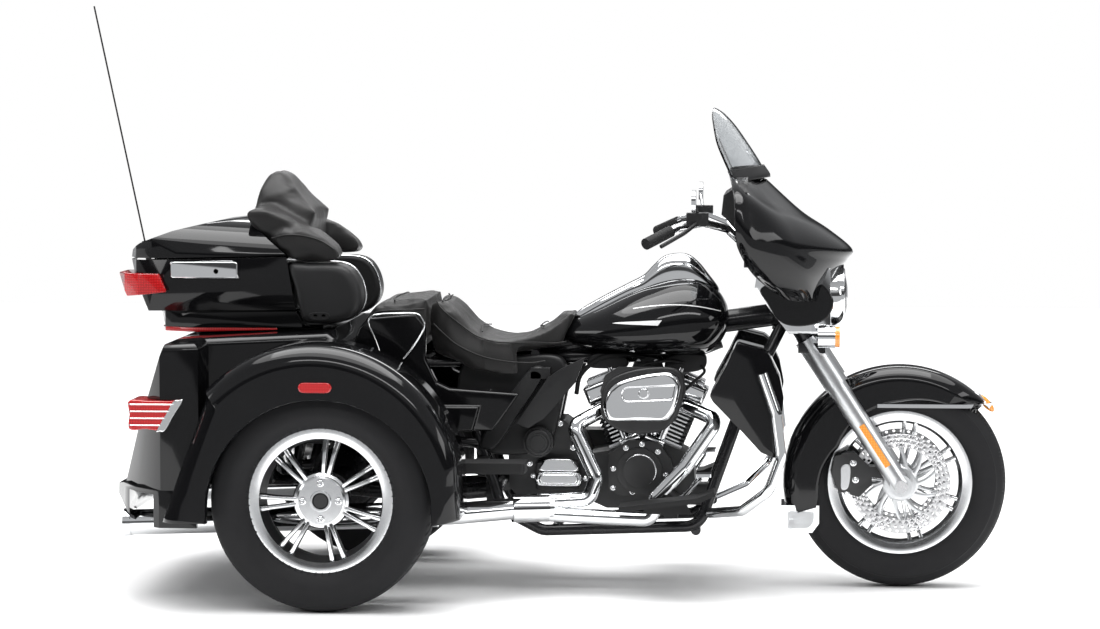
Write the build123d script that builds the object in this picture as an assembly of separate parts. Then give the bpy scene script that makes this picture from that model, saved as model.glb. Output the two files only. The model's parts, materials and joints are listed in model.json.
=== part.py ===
# Three-wheeled touring motorcycle with a steered front fork, a V-twin engine amidships
# and a wide rear body between two car-sized wheels.
# Frame: +X forward, +Y to the rider's left, +Z up, floor at Z 0, millimetres.
from math import atan2, cos, degrees, pi, radians, sin, sqrt, tan
import os

from build123d import *

os.makedirs("parts", exist_ok=True)

# Driving dimensions
wheelBase = 1670.0
overallLength = 2830.0  # front tyre to the tip of the leaning aerial
frontTyreR = 319.0
frontTyreW = 130.0
rearTyreR = 323.5
rearTyreW = 205.0
rearTrack = 1114.0
bodyHalfWidth = 695.0  # outer faces of the rear fenders
rakeDeg = 26.0
forkDeg = 33.0
trail = 100.0
forkHalfSpan = 114.0
fit = 0.3  # air between two pieces that seat on each other
pinFit = 0.4  # air round a hinge pin
skin = 4.0  # moulded panel thickness

frontAxleX = overallLength / 2 - frontTyreR
rearAxleX = frontAxleX - wheelBase
wheelY = rearTrack / 2
rakeTan = tan(radians(rakeDeg))
forkTan = tan(radians(forkDeg))


def fx(x):
    """X of a place given from the front axle."""
    return frontAxleX + x


def rx(x):
    """X of a place given from the rear axle."""
    return rearAxleX + x


# Shape helpers
def wall(points, y0, y1):
    """Side-view outline (x, z) carried from y0 to y1."""
    face = make_face(Polyline(*[(x, y0, z) for x, z in points], close=True))
    return extrude(face, amount=y1 - y0, dir=(0, 1, 0))


def slab(points, z0, z1):
    """Plan outline (x, y) carried from z0 to z1."""
    face = make_face(Polyline(*[(x, y, z0) for x, y in points], close=True))
    return extrude(face, amount=z1 - z0, dir=(0, 0, 1))


def front(points, x0, x1):
    """Front-view outline (y, z) carried from x0 to x1."""
    face = make_face(Polyline(*[(x0, y, z) for y, z in points], close=True))
    return extrude(face, amount=x1 - x0, dir=(1, 0, 0))


def inset(points, d):
    """Closed outline moved inwards by d, corner by corner."""
    turn = sum(a[0] * b[1] - b[0] * a[1] for a, b in zip(points, points[1:] + points[:1]))
    d = d if turn > 0 else -d
    moved = []
    for p, q, r in zip(points[-1:] + points[:-1], points, points[1:] + points[:1]):
        u, v = (q[0] - p[0], q[1] - p[1]), (r[0] - q[0], r[1] - q[1])
        lu, lv = sqrt(u[0] ** 2 + u[1] ** 2), sqrt(v[0] ** 2 + v[1] ** 2)
        nu, nv = (-u[1] / lu, u[0] / lu), (-v[1] / lv, v[0] / lv)
        k = d / (1 + nu[0] * nv[0] + nu[1] * nv[1])
        moved.append((q[0] + k * (nu[0] + nv[0]), q[1] + k * (nu[1] + nv[1])))
    return moved


def placed(points, origin):
    """Points whose x is counted from an axle."""
    return [(origin(x), z) for x, z in points]


def both(points):
    """Half outline, first number across, made whole by its mirror."""
    return points + [(-y, z) for y, z in reversed(points) if abs(y) > 0.01]


def block(x0, x1, y0, y1, z0, z1):
    return Pos((x0 + x1) / 2, (y0 + y1) / 2, (z0 + z1) / 2) * Box(x1 - x0, y1 - y0, z1 - z0)


def eased(shape, r, axis):
    """Rounds the edges that run along one axis."""
    return fillet(shape.edges().filter_by(axis), r)


def rod(a, b, r):
    """Round bar from a to b."""
    a, b = Vector(*a), Vector(*b)
    return Plane(origin=a, z_dir=b - a) * Cylinder(r, (b - a).length,
        align=(Align.CENTER, Align.CENTER, Align.MIN))


def pipe(points, r, bend, bore=0.0):
    """Round tube along straight runs joined by tangent arcs."""
    line = FilletPolyline(*points, radius=bend)
    ring = Plane(origin=line @ 0, z_dir=line % 0) * Circle(r)
    body = sweep(ring, path=line)
    if bore:
        body -= sweep(Plane(origin=line @ 0, z_dir=line % 0) * Circle(bore), path=line)
    return body


def biggest(shape):
    """The main solid of a cut that may leave crumbs."""
    return max(shape.solids(), key=lambda one: one.volume)


def flip(shape):
    """The same piece on the other side of the machine."""
    return mirror(shape, about=Plane.XZ)


def drum(x, y, z, r, w):
    """Disc or barrel whose axis runs across the machine."""
    return Pos(x, y, z) * Rot(90, 0, 0) * Cylinder(r, w)


def ring(x, y, z, r1, r0, w):
    return drum(x, y, z, r1, w) - drum(x, y, z, r0, w + 2)


def turned(profile, x, y, z):
    """Half section (radius, y) turned about a cross axis."""
    face = make_face(Polyline(*[(r, 0, -w) for r, w in profile], close=True))
    return Pos(x, y, z) * (Rot(90, 0, 0) * Rot(-90, 0, 0) * revolve(face, Axis.Z).rotate(Axis.X, 90))


def keep(name, *solids):
    """Writes one named piece."""
    shape = solids[0] if len(solids) == 1 else Compound(children=[s for one in solids 
        for s in one.solids()])
    export_step(shape, f"parts/{name}.step")


# Wheels: tyre, cast rim with seven pairs of spokes, brake disc, hub
rimRows = {  # flange radius, bead radius, barrel half width, hub radius, spoke thickness
    "front": (217.0, 203.0, 46.0, 38.0, 10.0),
    "rear": (209.0, 190.5, 76.0, 64.0, 12.0),
}
spokePairs = 7
spokeSplit = 11.0  # degrees between the two spokes of a pair


def tyre(kind, x, y, z, r, w):
    flange, bead, rimHalf, _, _ = rimRows[kind]
    crown = 0.40 if kind == "front" else 0.12  # round on the front, flat on the rear
    h = r - flange
    seat = rimHalf - 10 - 2 * fit
    half = [(bead, seat), (flange + 2, seat + 3), (flange + 0.28 * h, 0.49 * w),
        (flange + 0.46 * h, 0.50 * w),
            (r - h * crown * 0.62, 0.43 * w), (r - h * crown * 0.16, 0.25 * w), (r, 0.0)]
    inner = [(bead, seat - 16), (bead + 16, seat - 22)]
    outline = half + [(a, -b) for a, b in reversed(half[:-1])] + [(a, -b) for a, b in inner] + inner[::-1]
    return turned(outline, x, y, z)


def rim(kind, x, y, z, face):
    """face is +1 or -1, the side on which the spokes' show face lies."""
    flange, bead, half, hub, thick = rimRows[kind]
    bead -= fit
    barrel = turned([(flange, half), (flange, half - 7), (bead, half - 10), (bead, 10 - half),
        (flange, 7 - half),
                     (flange, -half), (bead - 9, -half), (bead - 14, 0), (bead - 9, half)], x, y, z)
    plane = y + face * (half - 26 if kind == "rear" else 0)
    wide = 24 if kind == "rear" else 30
    body = barrel + drum(x, plane, z, hub, wide + 8)
    for i in range(spokePairs):
        for side in (-1, 1):
            turn = 80 + 360 / spokePairs * i + side * spokeSplit / 2
            arm = Box(bead - 8 - hub + 8, wide, thick, align=(Align.MIN, Align.CENTER, Align.CENTER))
            body += Pos(x, plane, z) * Rot(0, -turn, 0) * Pos(hub - 6, 0, 0) * arm
    return body


frontZ, rearZ = frontTyreR, rearTyreR
keep("front_tyre", tyre("front", frontAxleX, 0, frontZ, frontTyreR, frontTyreW))
axleR = 12.5
frontHubHalf = 58.0
discY = 74.0
frontWheel = rim("front", frontAxleX, 0, frontZ, 1) + drum(frontAxleX, 0, frontZ, 46, 2 * frontHubHalf)
frontWheel -= drum(frontAxleX, 0, frontZ, axleR + 0.5, 300)
keep("front_rim", frontWheel)


def carrier(x, y, z, r, hub):
    """Open spider between the hub and the floating disc."""
    body = ring(x, y, z, hub + 14, hub - 14, 6)
    for i in range(7):
        body += Pos(x, y, z) * Rot(0, 360 / 7 * i, 0) * Pos((hub + r) / 2, 0, 0) * Box(r - hub + 12, 6, 20)
    return body


frontDisc = [ring(frontAxleX, s * discY, frontZ, 150, 108, 5) + carrier(frontAxleX, s * discY, frontZ,
    108, 44)
             + ring(frontAxleX, s * (frontHubHalf + 10), frontZ, 40, 24,
             2 * (discY - frontHubHalf - 10) + 4)
             + ring(frontAxleX, s * (frontHubHalf + fit + 6), frontZ, 44, 24, 12)
             for s in (-1, 1)]
keep("front_discs", *frontDisc)

rearHubIn = wheelY - 60.0
for name, s in (("right", -1), ("left", 1)):
    keep(f"rear_tyre_{name}", tyre("rear", rearAxleX, s * wheelY, rearZ, rearTyreR, rearTyreW))
    wheel = rim("rear", rearAxleX, s * wheelY, rearZ, s)
    wheel += drum(rearAxleX, s * (wheelY + 65), rearZ, 30, 20)
    for i in range(4):
        wheel += drum(rearAxleX + 46 * cos(pi / 2 * i), s * (wheelY + 67), rearZ + 46 * sin(pi / 2 * i),
            11, 12)
    hubLength = 98.0
    wheel += drum(rearAxleX, s * (wheelY + 34 - hubLength / 2), rearZ, 48, hubLength)
    wheel += ring(rearAxleX, s * (wheelY - 22), rearZ, 130, 40, 10)
    keep(f"rear_rim_{name}", wheel)

# Rear axle: housing across the machine, differential, two trailing arms
axleTubeEnd = wheelY + 34 - 98 - 2 * fit
axle = rod((rearAxleX, -axleTubeEnd, rearZ), (rearAxleX, axleTubeEnd, rearZ), 36)
axle += Pos(rearAxleX, 0, rearZ) * Sphere(105) + drum(rearAxleX, 0, rearZ, 112, 70)
pivotHalf = 124.0
for s in (-1, 1):
    axle += pipe([(rearAxleX, s * 150, rearZ - 20), (rx(250), s * 125, rearZ - 45),
        (rx(455), s * 90, rearZ - 30)], 24, 60)
axle += rod((rx(452), -pivotHalf, rearZ - 30), (rx(452), pivotHalf, rearZ - 30), 20)
keep("rear_axle", axle)

# Main frame: neck, backbone, twin cradle rails, seat rails, rear rails over the axle
headTop = (fx(trail - 945 * rakeTan), 945.0)
headLow = (fx(trail - 775 * rakeTan), 775.0)
railHalf = 150.0
railR = 17.0
seatRailZ = 680.0
trunkFrontX = 105.0
floorFront, floorRear = 470.0, 345.0
rearRailHalf = 205.0

frame = rod((fx(-345), 0, 825), (rx(560), 0, 718), 34)
frame += rod((headLow[0], 0, headLow[1]), (headTop[0], 0, headTop[1]), 38)
frame += rod((fx(-310), 0, 812), (fx(-380), 0, 822), 46)
for s in (-1, 1):
    y = s * railHalf
    frame += pipe([(fx(-350), s * 26, 800), (fx(-470), s * 90, 560), (fx(-600), y, 195), (rx(600), y, 178),
                   (rx(480), y, 240), (rx(400), y, 480)], railR, 60)
    frame += rod((rx(575), s * 60, seatRailZ), (rx(trunkFrontX + 6), y, seatRailZ), 15)
    frame += rod((rx(400), y, 470), (rx(480), s * 85, 698), 15)
    r = s * rearRailHalf
    frame += pipe([(rx(408), y, 440), (rx(300), r, 454.7), (rx(-118), r, 454.7), (rx(-143), r, 329.7),
        (rx(-600), r, 329.7)], 15, 20)
    frame += block(rx(430), rx(478), s * (pivotHalf + fit + 7) - 7, s * (pivotHalf + fit + 7) + 7,
        rearZ - 62, rearZ - 2)
for x in (fx(-610), rx(640)):
    frame += rod((x, -railHalf, 182), (x, railHalf, 182), 15)
for x, z in ((575, 705), (240, seatRailZ)):
    frame += rod((rx(x), -110, z), (rx(x), 110, z), 13)
frame += rod((rx(-580), -rearRailHalf, 329.7), (rx(-580), rearRailHalf, 329.7), 14)
stemBore = 20.0
frame -= rod((fx(trail - 1100 * rakeTan), 0, 1100), (fx(trail - 700 * rakeTan), 0, 700), stemBore)
keep("frame", frame)

# Engine: crankcase, cam and primary covers, gearbox, two finned cylinders in a 45 degree vee
crank = (-765.0, 330.0)  # from the front axle, height
lean = radians(22.5)
boreSeat = 120.0  # crank centre to cylinder foot
caseHalf = 95.0


def onBore(side, along, out):
    """Side-view place along one cylinder axis; side is -1 for the rear one, out runs away from the vee."""
    return (fx(crank[0] + side * (along * sin(lean) + out * cos(lean))),
        crank[1] + along * cos(lean) - out * sin(lean))


def boreBlock(side, a0, a1, outIn, outOut, y0, y1):
    return wall([onBore(side, a0, outIn), onBore(side, a1, outIn), onBore(side, a1, outOut),
        onBore(side, a0, outOut)], y0, y1)


ridge = (fx(crank[0]), crank[1] + boreSeat / cos(lean))
case = wall([(fx(-930), 262), (fx(-880), 240), (fx(-660), 240), (fx(-612), 300), (fx(-622), 398),
    onBore(1, boreSeat, 74), ridge,
             onBore(-1, boreSeat, 74), (fx(-930), 405)], -caseHalf, caseHalf)
case = eased(case, 6, Axis.Y)
case += rod((fx(-640), 0, 275), (fx(-575), 0, 275), 36)
gearbox = wall(placed([(-1172, 300), (-1150, 276), (-930, 262), (-930, 405), (-960, 470), (-1010, 505),
    (-1130, 500), (-1178, 440)], fx),
               -104, caseHalf)
gearbox = eased(gearbox, 10, Axis.Y)
gearbox += drum(fx(-1082), -130, 444, 45, 60) + drum(fx(-1082), -160, 444, 30, 14)
keep("engine_case", case + gearbox)

finPitch = 12.5
cylinders = []
for side in (1, -1):
    foot, deckLow, deckTop = boreSeat, 214.0, 268.0
    a, b = onBore(side, foot, 0), onBore(side, deckTop, 0)
    body = rod((a[0], 0, a[1]), (b[0], 0, b[1]), 54)
    body += boreBlock(side, foot, foot + 10, -62, 66, -66, 66)
    level = foot + 16
    while level < deckTop - 3:
        reach = 72 if level > deckLow else 68
        spot = onBore(side, level, 0)
        deck = Plane(origin=(spot[0], 0, spot[1]), x_dir=(0, 1, 0), z_dir=(side * sin(lean), 0, cos(lean)))
        body += deck * extrude(chamfer(Rectangle(2 * reach, 2 * reach).vertices(), 18), amount=4.5)
        level += finPitch
    body += boreBlock(side, deckLow, deckTop, -40, 50, -60, 60)
    keepSide = wall([(ridge[0] + side * 2, 380), (ridge[0] + side * 400, 380),
        (ridge[0] + side * 400, 800), (ridge[0] + side * 2, 800)],
                    -200, 200)
    body &= keepSide
    cylinders.append(body)
keep("cylinders", *cylinders)

rockers = []
for side in (-1, 1):
    cover = boreBlock(side, 268, 318, -74, 74, -72, 72)
    cover = fillet(cover.edges().filter_by(lambda e: abs((e % 0.5).Y) < 0.1 and abs(e.center().Y) > 60 
        and e.length > 45), 14)
    cover += boreBlock(side, 318, 336, -52, 56, -50, 50)
    rockers.append(cover)
keep("rocker_covers", *rockers)

# Right side of the engine: chrome cam cover, intake and air cleaner
cam = (-779.0, 360.0)
camCover = wall(placed([(-872, 306), (-838, 284), (-706, 284), (-672, 330), (-684, 392), (-724, 446),
    (-812, 452), (-872, 410)], fx),
                -caseHalf - 52, -caseHalf)
camCover += drum(fx(cam[0]), -caseHalf - 55, cam[1], 68, 14) + drum(fx(cam[0]), -caseHalf - 68, cam[1],
    48, 14)
camCover += rod((fx(-700), -caseHalf - 40, 296), (fx(-640), -caseHalf - 40, 250), 18)

intakeZ = 562.0
backOutline = [(-894, 604), (-880, 650), (-840, 676), (-700, 676), (-646, 656), (-640, 600), (-668, 520),
    (-716, 482), (-800, 476),
               (-868, 520)]
backplate = wall(placed(backOutline, fx), -206, -192)
backplate += rod((fx(crank[0]), -192, intakeZ), (fx(crank[0]), -20, intakeZ), 22)
backplate += rod((fx(crank[0]) - 60, 0, intakeZ), (fx(crank[0]) + 60, 0, intakeZ), 20)
backplate -= cylinders[0] + cylinders[1]
backplate = biggest(backplate)
keep("air_cleaner_backplate", backplate)
coverOutline = [(-883, 606), (-866, 648), (-820, 667), (-700, 667), (-658, 644), (-652, 600), (-678, 536),
    (-726, 519), (-830, 519),
                (-868, 548)]
cleaner = wall(placed(coverOutline, fx), -262, -206)
cleaner = fillet(cleaner.edges().filter_by(Axis.Y), 14)
cleaner = fillet(cleaner.edges().filter_by(lambda e: e.center().Y < -261), 12)
cleaner += drum(fx(-772), -264, 596, 26, 8)
keep("air_cleaner_cover", cleaner)

# Left side of the engine: primary drive cover
primary = wall(placed([(-1150, 330), (-1128, 288), (-1060, 276), (-760, 250), (-690, 262), (-652, 310),
    (-652, 380), (-690, 440),
                       (-760, 456), (-1060, 456), (-1130, 440)], fx), caseHalf, 204)
primary = eased(primary, 16, Axis.Y)
primary = fillet(primary.edges().filter_by(lambda e: e.center().Y > 203), 14)
primary += drum(fx(-770), 207, 352, 76, 10) + drum(fx(-1052), 207, 366, 60, 10)

sideCover = eased(block(fx(-1092), fx(-960), -146, -104, 296, 384), 12, Axis.Y)
sideCover = fillet(sideCover.edges().filter_by(lambda e: e.center().Y < -145), 8)
keep("engine_covers", camCover, primary, sideCover)

# Exhaust: one header from each head, a joining box, one muffler out under each rear wheel arch
headerR = 22.0
mufflerR = 38.0
mufflerY = 385.0


def muffler(s):
    tail = pipe([(fx(-1030), s * 252, 260), (fx(-1130), s * 270, 260), (fx(-1310), s * mufflerY, 257),
        (rx(60), s * mufflerY, 243)],
                32, 70)
    can = rod((rx(310), s * mufflerY, 256), (rx(-612), s * mufflerY, 222), mufflerR)
    return tail + can + rod((rx(-598), s * mufflerY, 222.5), (rx(-620), s * mufflerY, 222), mufflerR + 4)


rearHead, frontHead = onBore(-1, 238, 0), onBore(1, 238, 0)
exhaust = pipe([(rearHead[0], -73 - fit, rearHead[1]), (rearHead[0] - 20, -150, rearHead[1]),
    (fx(-975), -222, 500),
                (fx(-902), -236, 350), (fx(-925), -240, 285), (fx(-1060), -252, 277)], headerR, 30)
exhaust += pipe([(frontHead[0], -73 - fit, frontHead[1]), (frontHead[0] + 30, -140, frontHead[1] + 6),
    (fx(-545), -205, 520),
                 (fx(-643), -232, 380), (fx(-728), -240, 292), (fx(-738), -240, 226),
                 (fx(-1060), -252, 241)], headerR, 28)
exhaust += rod((fx(-1046), -251, 260), (fx(-1150), -277, 260), 42) + muffler(-1)
exhaust = biggest(exhaust - cylinders[0] - cylinders[1])
exhaust += rod((fx(-1112), -262, 247), (fx(-1112), 262, 247), 20) + rod((fx(-1046), 251, 260),
    (fx(-1130), 271, 260), 38) + muffler(1)
keep("exhaust", exhaust)

# Fuel tank saddled on the backbone, chrome console along its top
spineTop = [(fx(-345), 825.0), (rx(560), 718.0)]


def spine(grow):
    """Backbone tube grown a little, open underneath, as the tunnel of what sits on it."""
    (xa, za), (xb, zb) = spineTop
    r = 34 + grow
    return rod((xa + 60, 0, za + 8.4), (xb - 200, 0, zb - 28),
        r) + wall([(xa + 60, za + 8.4), (xb - 200, zb - 28), (xb - 200, 500), (xa + 60, 500)],
                                                                      -r, r)


tankSide = [(-1018, 768), (-1022, 752), (-969, 719), (-860, 708), (-687, 700), (-580, 702), (-536, 742),
    (-517, 800), (-520, 846),
            (-556, 898), (-606, 930), (-668, 939), (-760, 918), (-900, 846)]
tankPlan = [(-1030, 66), (-960, 104), (-860, 150), (-740, 180), (-640, 186), (-570, 168), (-530, 134),
    (-508, 96)]
tankFront = both([(96, 690), (150, 706), (182, 752), (188, 800), (172, 856), (130, 906), (70, 934),
    (0, 942)][::-1])
tank = wall(placed(tankSide, fx), -190, 190) & slab([(fx(x), -y) for x,
    y in tankPlan] + [(fx(x), y) for x, y in reversed(tankPlan)], 680, 960)
tank = (tank & front(tankFront, fx(-1040), fx(-500))) - spine(fit)
keep("fuel_tank", tank)
consoleSide = [(-975, 812), (-972, 826), (-860, 880), (-770, 930), (-738, 974), (-704, 1002),
    (-650, 1002), (-606, 978), (-548, 905),
               (-560, 880), (-700, 800), (-900, 790)]
console = eased(wall(placed(consoleSide, fx), -58, 58), 9, Axis.Y) - tank
console = biggest(console) - spine(fit)
keep("tank_console", biggest(console))

# Seats on the seat rails
trunkHalf = 430.0  # inside the wheels
quarterHalf = 600.0  # behind the wheels, under the lamps
wheelRoom = 352.0  # wheel well radius
trunkSide = [(-457, 767), (-10, 789), (45, 752), (trunkFrontX, 640), (trunkFrontX, floorFront),
    (-150, floorFront), (-175, floorRear),
             (-616, floorRear)]
seatBase = seatRailZ + 15 + fit
riderSide = [(268, 712), (262, 755), (270, 868), (293, 876), (340, 836), (382, 786), (432, 752),
    (482, 741), (545, 750), (622, 792),
             (681, 846), (697, 836), (686, 790), (664, 740), (633, 700), (600, 668), (583, 640),
             (468, 640), (400, 655), (330, 690)]
riderPlan = [(262, 168), (330, 196), (430, 200), (520, 176), (600, 134), (660, 100), (700, 76)]
rider = wall(placed(riderSide, rx), -210, 210)
rider &= slab([(rx(x), -y) for x, y in riderPlan] + [(rx(x), y) for x, y in reversed(riderPlan)], 600, 900)
rider -= tank + spine(fit)
seatRails = wall(placed([(200, 500), (200, seatBase), (430, seatBase), (520, 716), (620, 730), (720, 744),
    (720, 500)], rx), -168, 168)
rider = rider - seatRails - frame
rider = biggest(rider)
rider = fillet(rider.edges().filter_by(Axis.Y).filter_by(lambda e: e.center().Z > 780 and e.length > 120),
    8)
keep("rider_seat", rider)
passengerSide = [(52, 760), (58, 800), (103, 862), (203, 871), (262, 880), (262, 757), (210, seatBase),
    (112, seatBase), (112, 760)]
passengerPlan = [(50, 208), (120, 208), (262, 208)]
passenger = wall(placed(passengerSide, rx), -210, 210)
passenger &= slab([(rx(x), -y) for x, y in passengerPlan] + [(rx(x), y) for x,
    y in reversed(passengerPlan)], 600, 900)
passenger = passenger - wall(placed(trunkSide, rx), -trunkHalf, trunkHalf)
passenger -= wall(placed([(100, 600), (100, seatBase), (270, seatBase), (270, 600)], rx), -210, 210)
keep("passenger_seat", passenger)

# Body sides below the seats and the blade-shaped side covers
sides, blades = [], []
for s in (-1, 1):
    lift = wall(placed([(trunkFrontX + fit, 486), (trunkFrontX + fit, 641), (46, 754), (62, 792),
        (86, 820), (231, 833), (258, 800),
                        (258, 700), (292, 630), (330, 612), (539, 598), (459, 486)], rx), -250, -208 - fit)
    lift += wall(placed([(trunkFrontX + fit, 486), (trunkFrontX + fit, 560), (420, 560), (400, 486)], rx),
        -262, -170)
    lift = lift - frame
    lift = biggest(lift)
    sides.append(lift if s < 0 else flip(lift))
    blade = wall(placed([(-1145, 504), (-1109, 490), (-1062, 520), (-968, 628), (-940, 702), (-1012, 668),
        (-1052, 640)], fx), -196, -170)
    blade += block(fx(-1104), fx(-1046), -172, -58, 636, seatRailZ - 12)
    blade = blade - frame
    blade = biggest(blade)
    blades.append(blade if s < 0 else flip(blade))
keep("side_panels", *sides)
keep("side_covers", *blades)

# Rear body: trunk with a drop-down door, wheel arches, lower valance, lamps
trunkPlan = [(trunkFrontX, -300), (60, -trunkHalf), (-wheelRoom - 6, -trunkHalf),
    (-wheelRoom - 6, -quarterHalf),
             (-470, -quarterHalf), (-555, -500), (-640, -330)]
trunkPlan = placed(trunkPlan, rx) + [(x, -y) for x, y in reversed(placed(trunkPlan, rx))]
trunkBlock = wall(placed(trunkSide, rx), -quarterHalf, quarterHalf) & slab(trunkPlan, 200, 900)
roof = trunkBlock.edges().filter_by(lambda e: e.center().Z > 745 and abs(e.center().Y) > 200 
    and e.length > 60)
trunkBlock = fillet(roof, 22)
cavity = wall(placed([(-448, 759), (-14, 785 - skin), (40, 742), (99, 634), (99, floorFront + skin),
    (-154, floorFront + skin),
                      (-179, floorRear + skin), (-608, floorRear + skin)], rx), -trunkHalf + 8,
                      trunkHalf - 8)
cavityPlan = placed([(99, -280), (54, -trunkHalf + 8), (-560, -trunkHalf + 8), (-610, -330)], rx)
cavity &= slab(cavityPlan + [(x, -y) for x, y in reversed(cavityPlan)], 300, 800)
cavity = fillet(cavity.edges().filter_by(lambda e: e.center().Z > 730 and abs(e.center().Y) > 200 
    and e.length > 60), 20)
doorHalfTop, doorHalfLow = 245.0, 300.0
doorTop, doorLow = 722.0, 372.0
doorGap = 5.5
doorDeep = 12.0


def doorWay(grow):
    return front([(-doorHalfTop - grow, doorTop + grow), (doorHalfTop + grow, doorTop + grow),
                  (doorHalfLow + grow, doorLow - grow), (-doorHalfLow - grow, doorLow - grow)], rx(-720),
                  rx(-380))


doorPinZ = 379.0
doorPin = (rx(-457 - (767 - doorPinZ) * (616 - 457) / (767 - floorRear) + doorDeep / 2), doorPinZ)
doorPinR = 3.0
trunk = trunkBlock - cavity - doorWay(doorGap) - (doorWay(doorGap + 2.5) & block(rx(-720), rx(-380), -400,
    400, 300, 370))
jamb = doorHalfLow + doorGap + 1
for s in (-1, 1):
    trunk += rod((doorPin[0], s * (jamb + 3), doorPin[1]),
        (doorPin[0], s * (doorHalfLow - 14), doorPin[1]), doorPinR)
trunk = biggest(trunk)
keep("trunk_body", trunk)
shellRear = wall(placed([(-457, 767), (-457 + doorDeep, 767), (-616 + doorDeep, floorRear),
    (-616, floorRear)], rx), -400, 400)
door = shellRear & doorWay(0)
for s in (-1, 1):
    door -= rod((doorPin[0], s * 400, doorPin[1]), (doorPin[0], s * (doorHalfLow - 16), doorPin[1]),
        doorPinR + pinFit)
keep("trunk_door", door)

archCentre = (rx(-20), 350.0)
archR = 424.0
archIn = trunkHalf + fit
archLow = 262.0


def archBlock(r, y0, y1):
    """Crown arc over the wheel with a straight rear edge."""
    mid = (y0 + y1) / 2
    crown = drum(archCentre[0], mid, archCentre[1], r, y1 - y0)
    low = wall(placed([(-460, archLow), (-318, 640), (0, 600), (400, 350), (404, archLow)], rx), y0, y1)
    rear = wall(placed([(-800, 1000), (-180, 1000), (-318, 640), (-460, archLow), (-500, 0), (-900, 0)],
        rx), y0 - 1, y1 + 1)
    return crown + low - rear - block(rx(-700), rx(700), y0 - 1, y1 + 1, -200, archLow)


arch = archBlock(archR, archIn, bodyHalfWidth)
arch = fillet(arch.edges().filter_by(lambda e: e.center().Y > bodyHalfWidth - 1 
    and e.center().Z > archLow + 5), 44)
wellOut = bodyHalfWidth - 6
well = drum(rearAxleX, (archIn + wellOut) / 2 - 5, rearZ + 20, wheelRoom, wellOut - archIn + 10)
well += block(rearAxleX - wheelRoom, rearAxleX + wheelRoom, archIn - 5, wellOut, 0, rearZ + 20)
opening = drum(rearAxleX, bodyHalfWidth, rearZ - 30, 326, 120) + block(rearAxleX - 326, rearAxleX + 326,
    bodyHalfWidth - 60, bodyHalfWidth + 60, 0, rearZ - 30)
arch = arch - well - opening
arch -= wall(placed([(wheelRoom - 6, 200), (wheelRoom - 6, 350), (600, 350), (600, 200)], rx), 0, 900)
arch -= slab(placed([(-wheelRoom - 6, 0), (-wheelRoom - 6, quarterHalf + fit), (-600, quarterHalf + fit),
    (-600, 0)], rx), 100, 900)
arch = biggest(arch)
keep("rear_fenders", arch, flip(arch))

valance = wall(placed([(-617, floorRear - fit), (-640, 338), (-642, 306), (-600, 262), (-545, 236),
    (-366, 236), (-366, floorRear - fit)], rx),
               -quarterHalf, quarterHalf)
valancePlan = placed([(-366, -quarterHalf), (-475, -quarterHalf), (-560, -515), (-660, -330)], rx)
valance &= slab(valancePlan + [(x, -y) for x, y in reversed(valancePlan)], 200, 400)
valance -= block(rx(-590), rx(-300), -quarterHalf + 20, quarterHalf - 20, 200, floorRear - 14)
for s in (-1, 1):
    valance -= rod((rx(-300), s * mufflerY, 228), (rx(-700), s * mufflerY, 221), mufflerR + 10)
    valance -= block(rx(-640), rx(-300), s * rearRailHalf - 17, s * rearRailHalf + 17, 300, 360)
valance -= block(rx(-600), rx(-560), -rearRailHalf, rearRailHalf, 310, 360)
keep("rear_valance", biggest(valance))

lamps, markers = [], []
for s in (-1, 1):
    lamp = slab(placed([(-476, 618), (-420, 618), (-400, 590), (-480, 560), (-540, 496), (-556, 510)],
        rx), 524, 606)
    lamp = lamp & wall(placed([(-600, 606), (-352, 606), (-400, 524), (-600, 524)], rx), 300, 700)
    lamp = lamp - trunk - arch
    lamp = biggest(lamp)
    lamps.append(lamp if s > 0 else flip(lamp))
    mark = eased(block(rx(-54), rx(42), bodyHalfWidth + fit, bodyHalfWidth + 6, 640, 669), 13.5, Axis.Y)
    markers.append(mark if s > 0 else flip(mark))
keep("tail_lamps", *lamps, *markers)

# Luggage box: lower tray, body, lid hinged on the left, wrap-around backrest that rides on the lid
boxHalf = 285.0
seamRear, seamFront = (-641.0, 990.0), (-150.0, 1003.0)
boxSide = [seamRear, (-569, 840), (-127, 844), seamFront]
boxPlan = [(-110, -boxHalf), (-480, -boxHalf), (-556, -270), (-612, -226), (-640, -150), (-648, 0)]
boxFront = both([(boxHalf, 1130), (boxHalf, 1000), (279, 930), (258, 836)])


def boxShape(d):
    plan = placed(boxPlan, rx) + [(x, -y) for x, y in reversed(placed(boxPlan, rx)[:-1])]
    return slab(inset(plan, d), 780, 1200)


lidLow = 5.2  # seam between body and lid
box = wall(placed(boxSide, rx), -300, 300) & boxShape(0) & front(boxFront, rx(-700), rx(0))
hollow = wall(placed([(-700, 1020), (-700, 900), (-566, 845), (-132, 849), (-155, 1020)], rx), -300,
    300) & boxShape(skin + 1)
hollow &= front(inset(boxFront, skin + 1), rx(-700), rx(0))
box -= hollow
hingeY, hingeZ, hingeR = 297.0, 1000.0, 4.5
for x in (-540, -280):
    box += block(rx(x), rx(x + 40), 279, hingeY, hingeZ - 16, hingeZ - 8) + block(rx(x), rx(x + 40),
        hingeY - 5, hingeY, hingeZ - 16, hingeZ)
    box += rod((rx(x), hingeY, hingeZ), (rx(x + 40), hingeY, hingeZ), hingeR)
keep("luggage_box", box)
lidSide = [(seamRear[0], seamRear[1] + lidLow), (-634, 1018), (-598, 1041), (-500, 1077), (-390, 1101),
    (-281, 1115),
           (seamFront[0], seamFront[1] + lidLow)]
lidFront = both([(boxHalf, 980), (boxHalf, 1018), (268, 1056), (225, 1092), (150, 1112), (0, 1118)])
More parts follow.
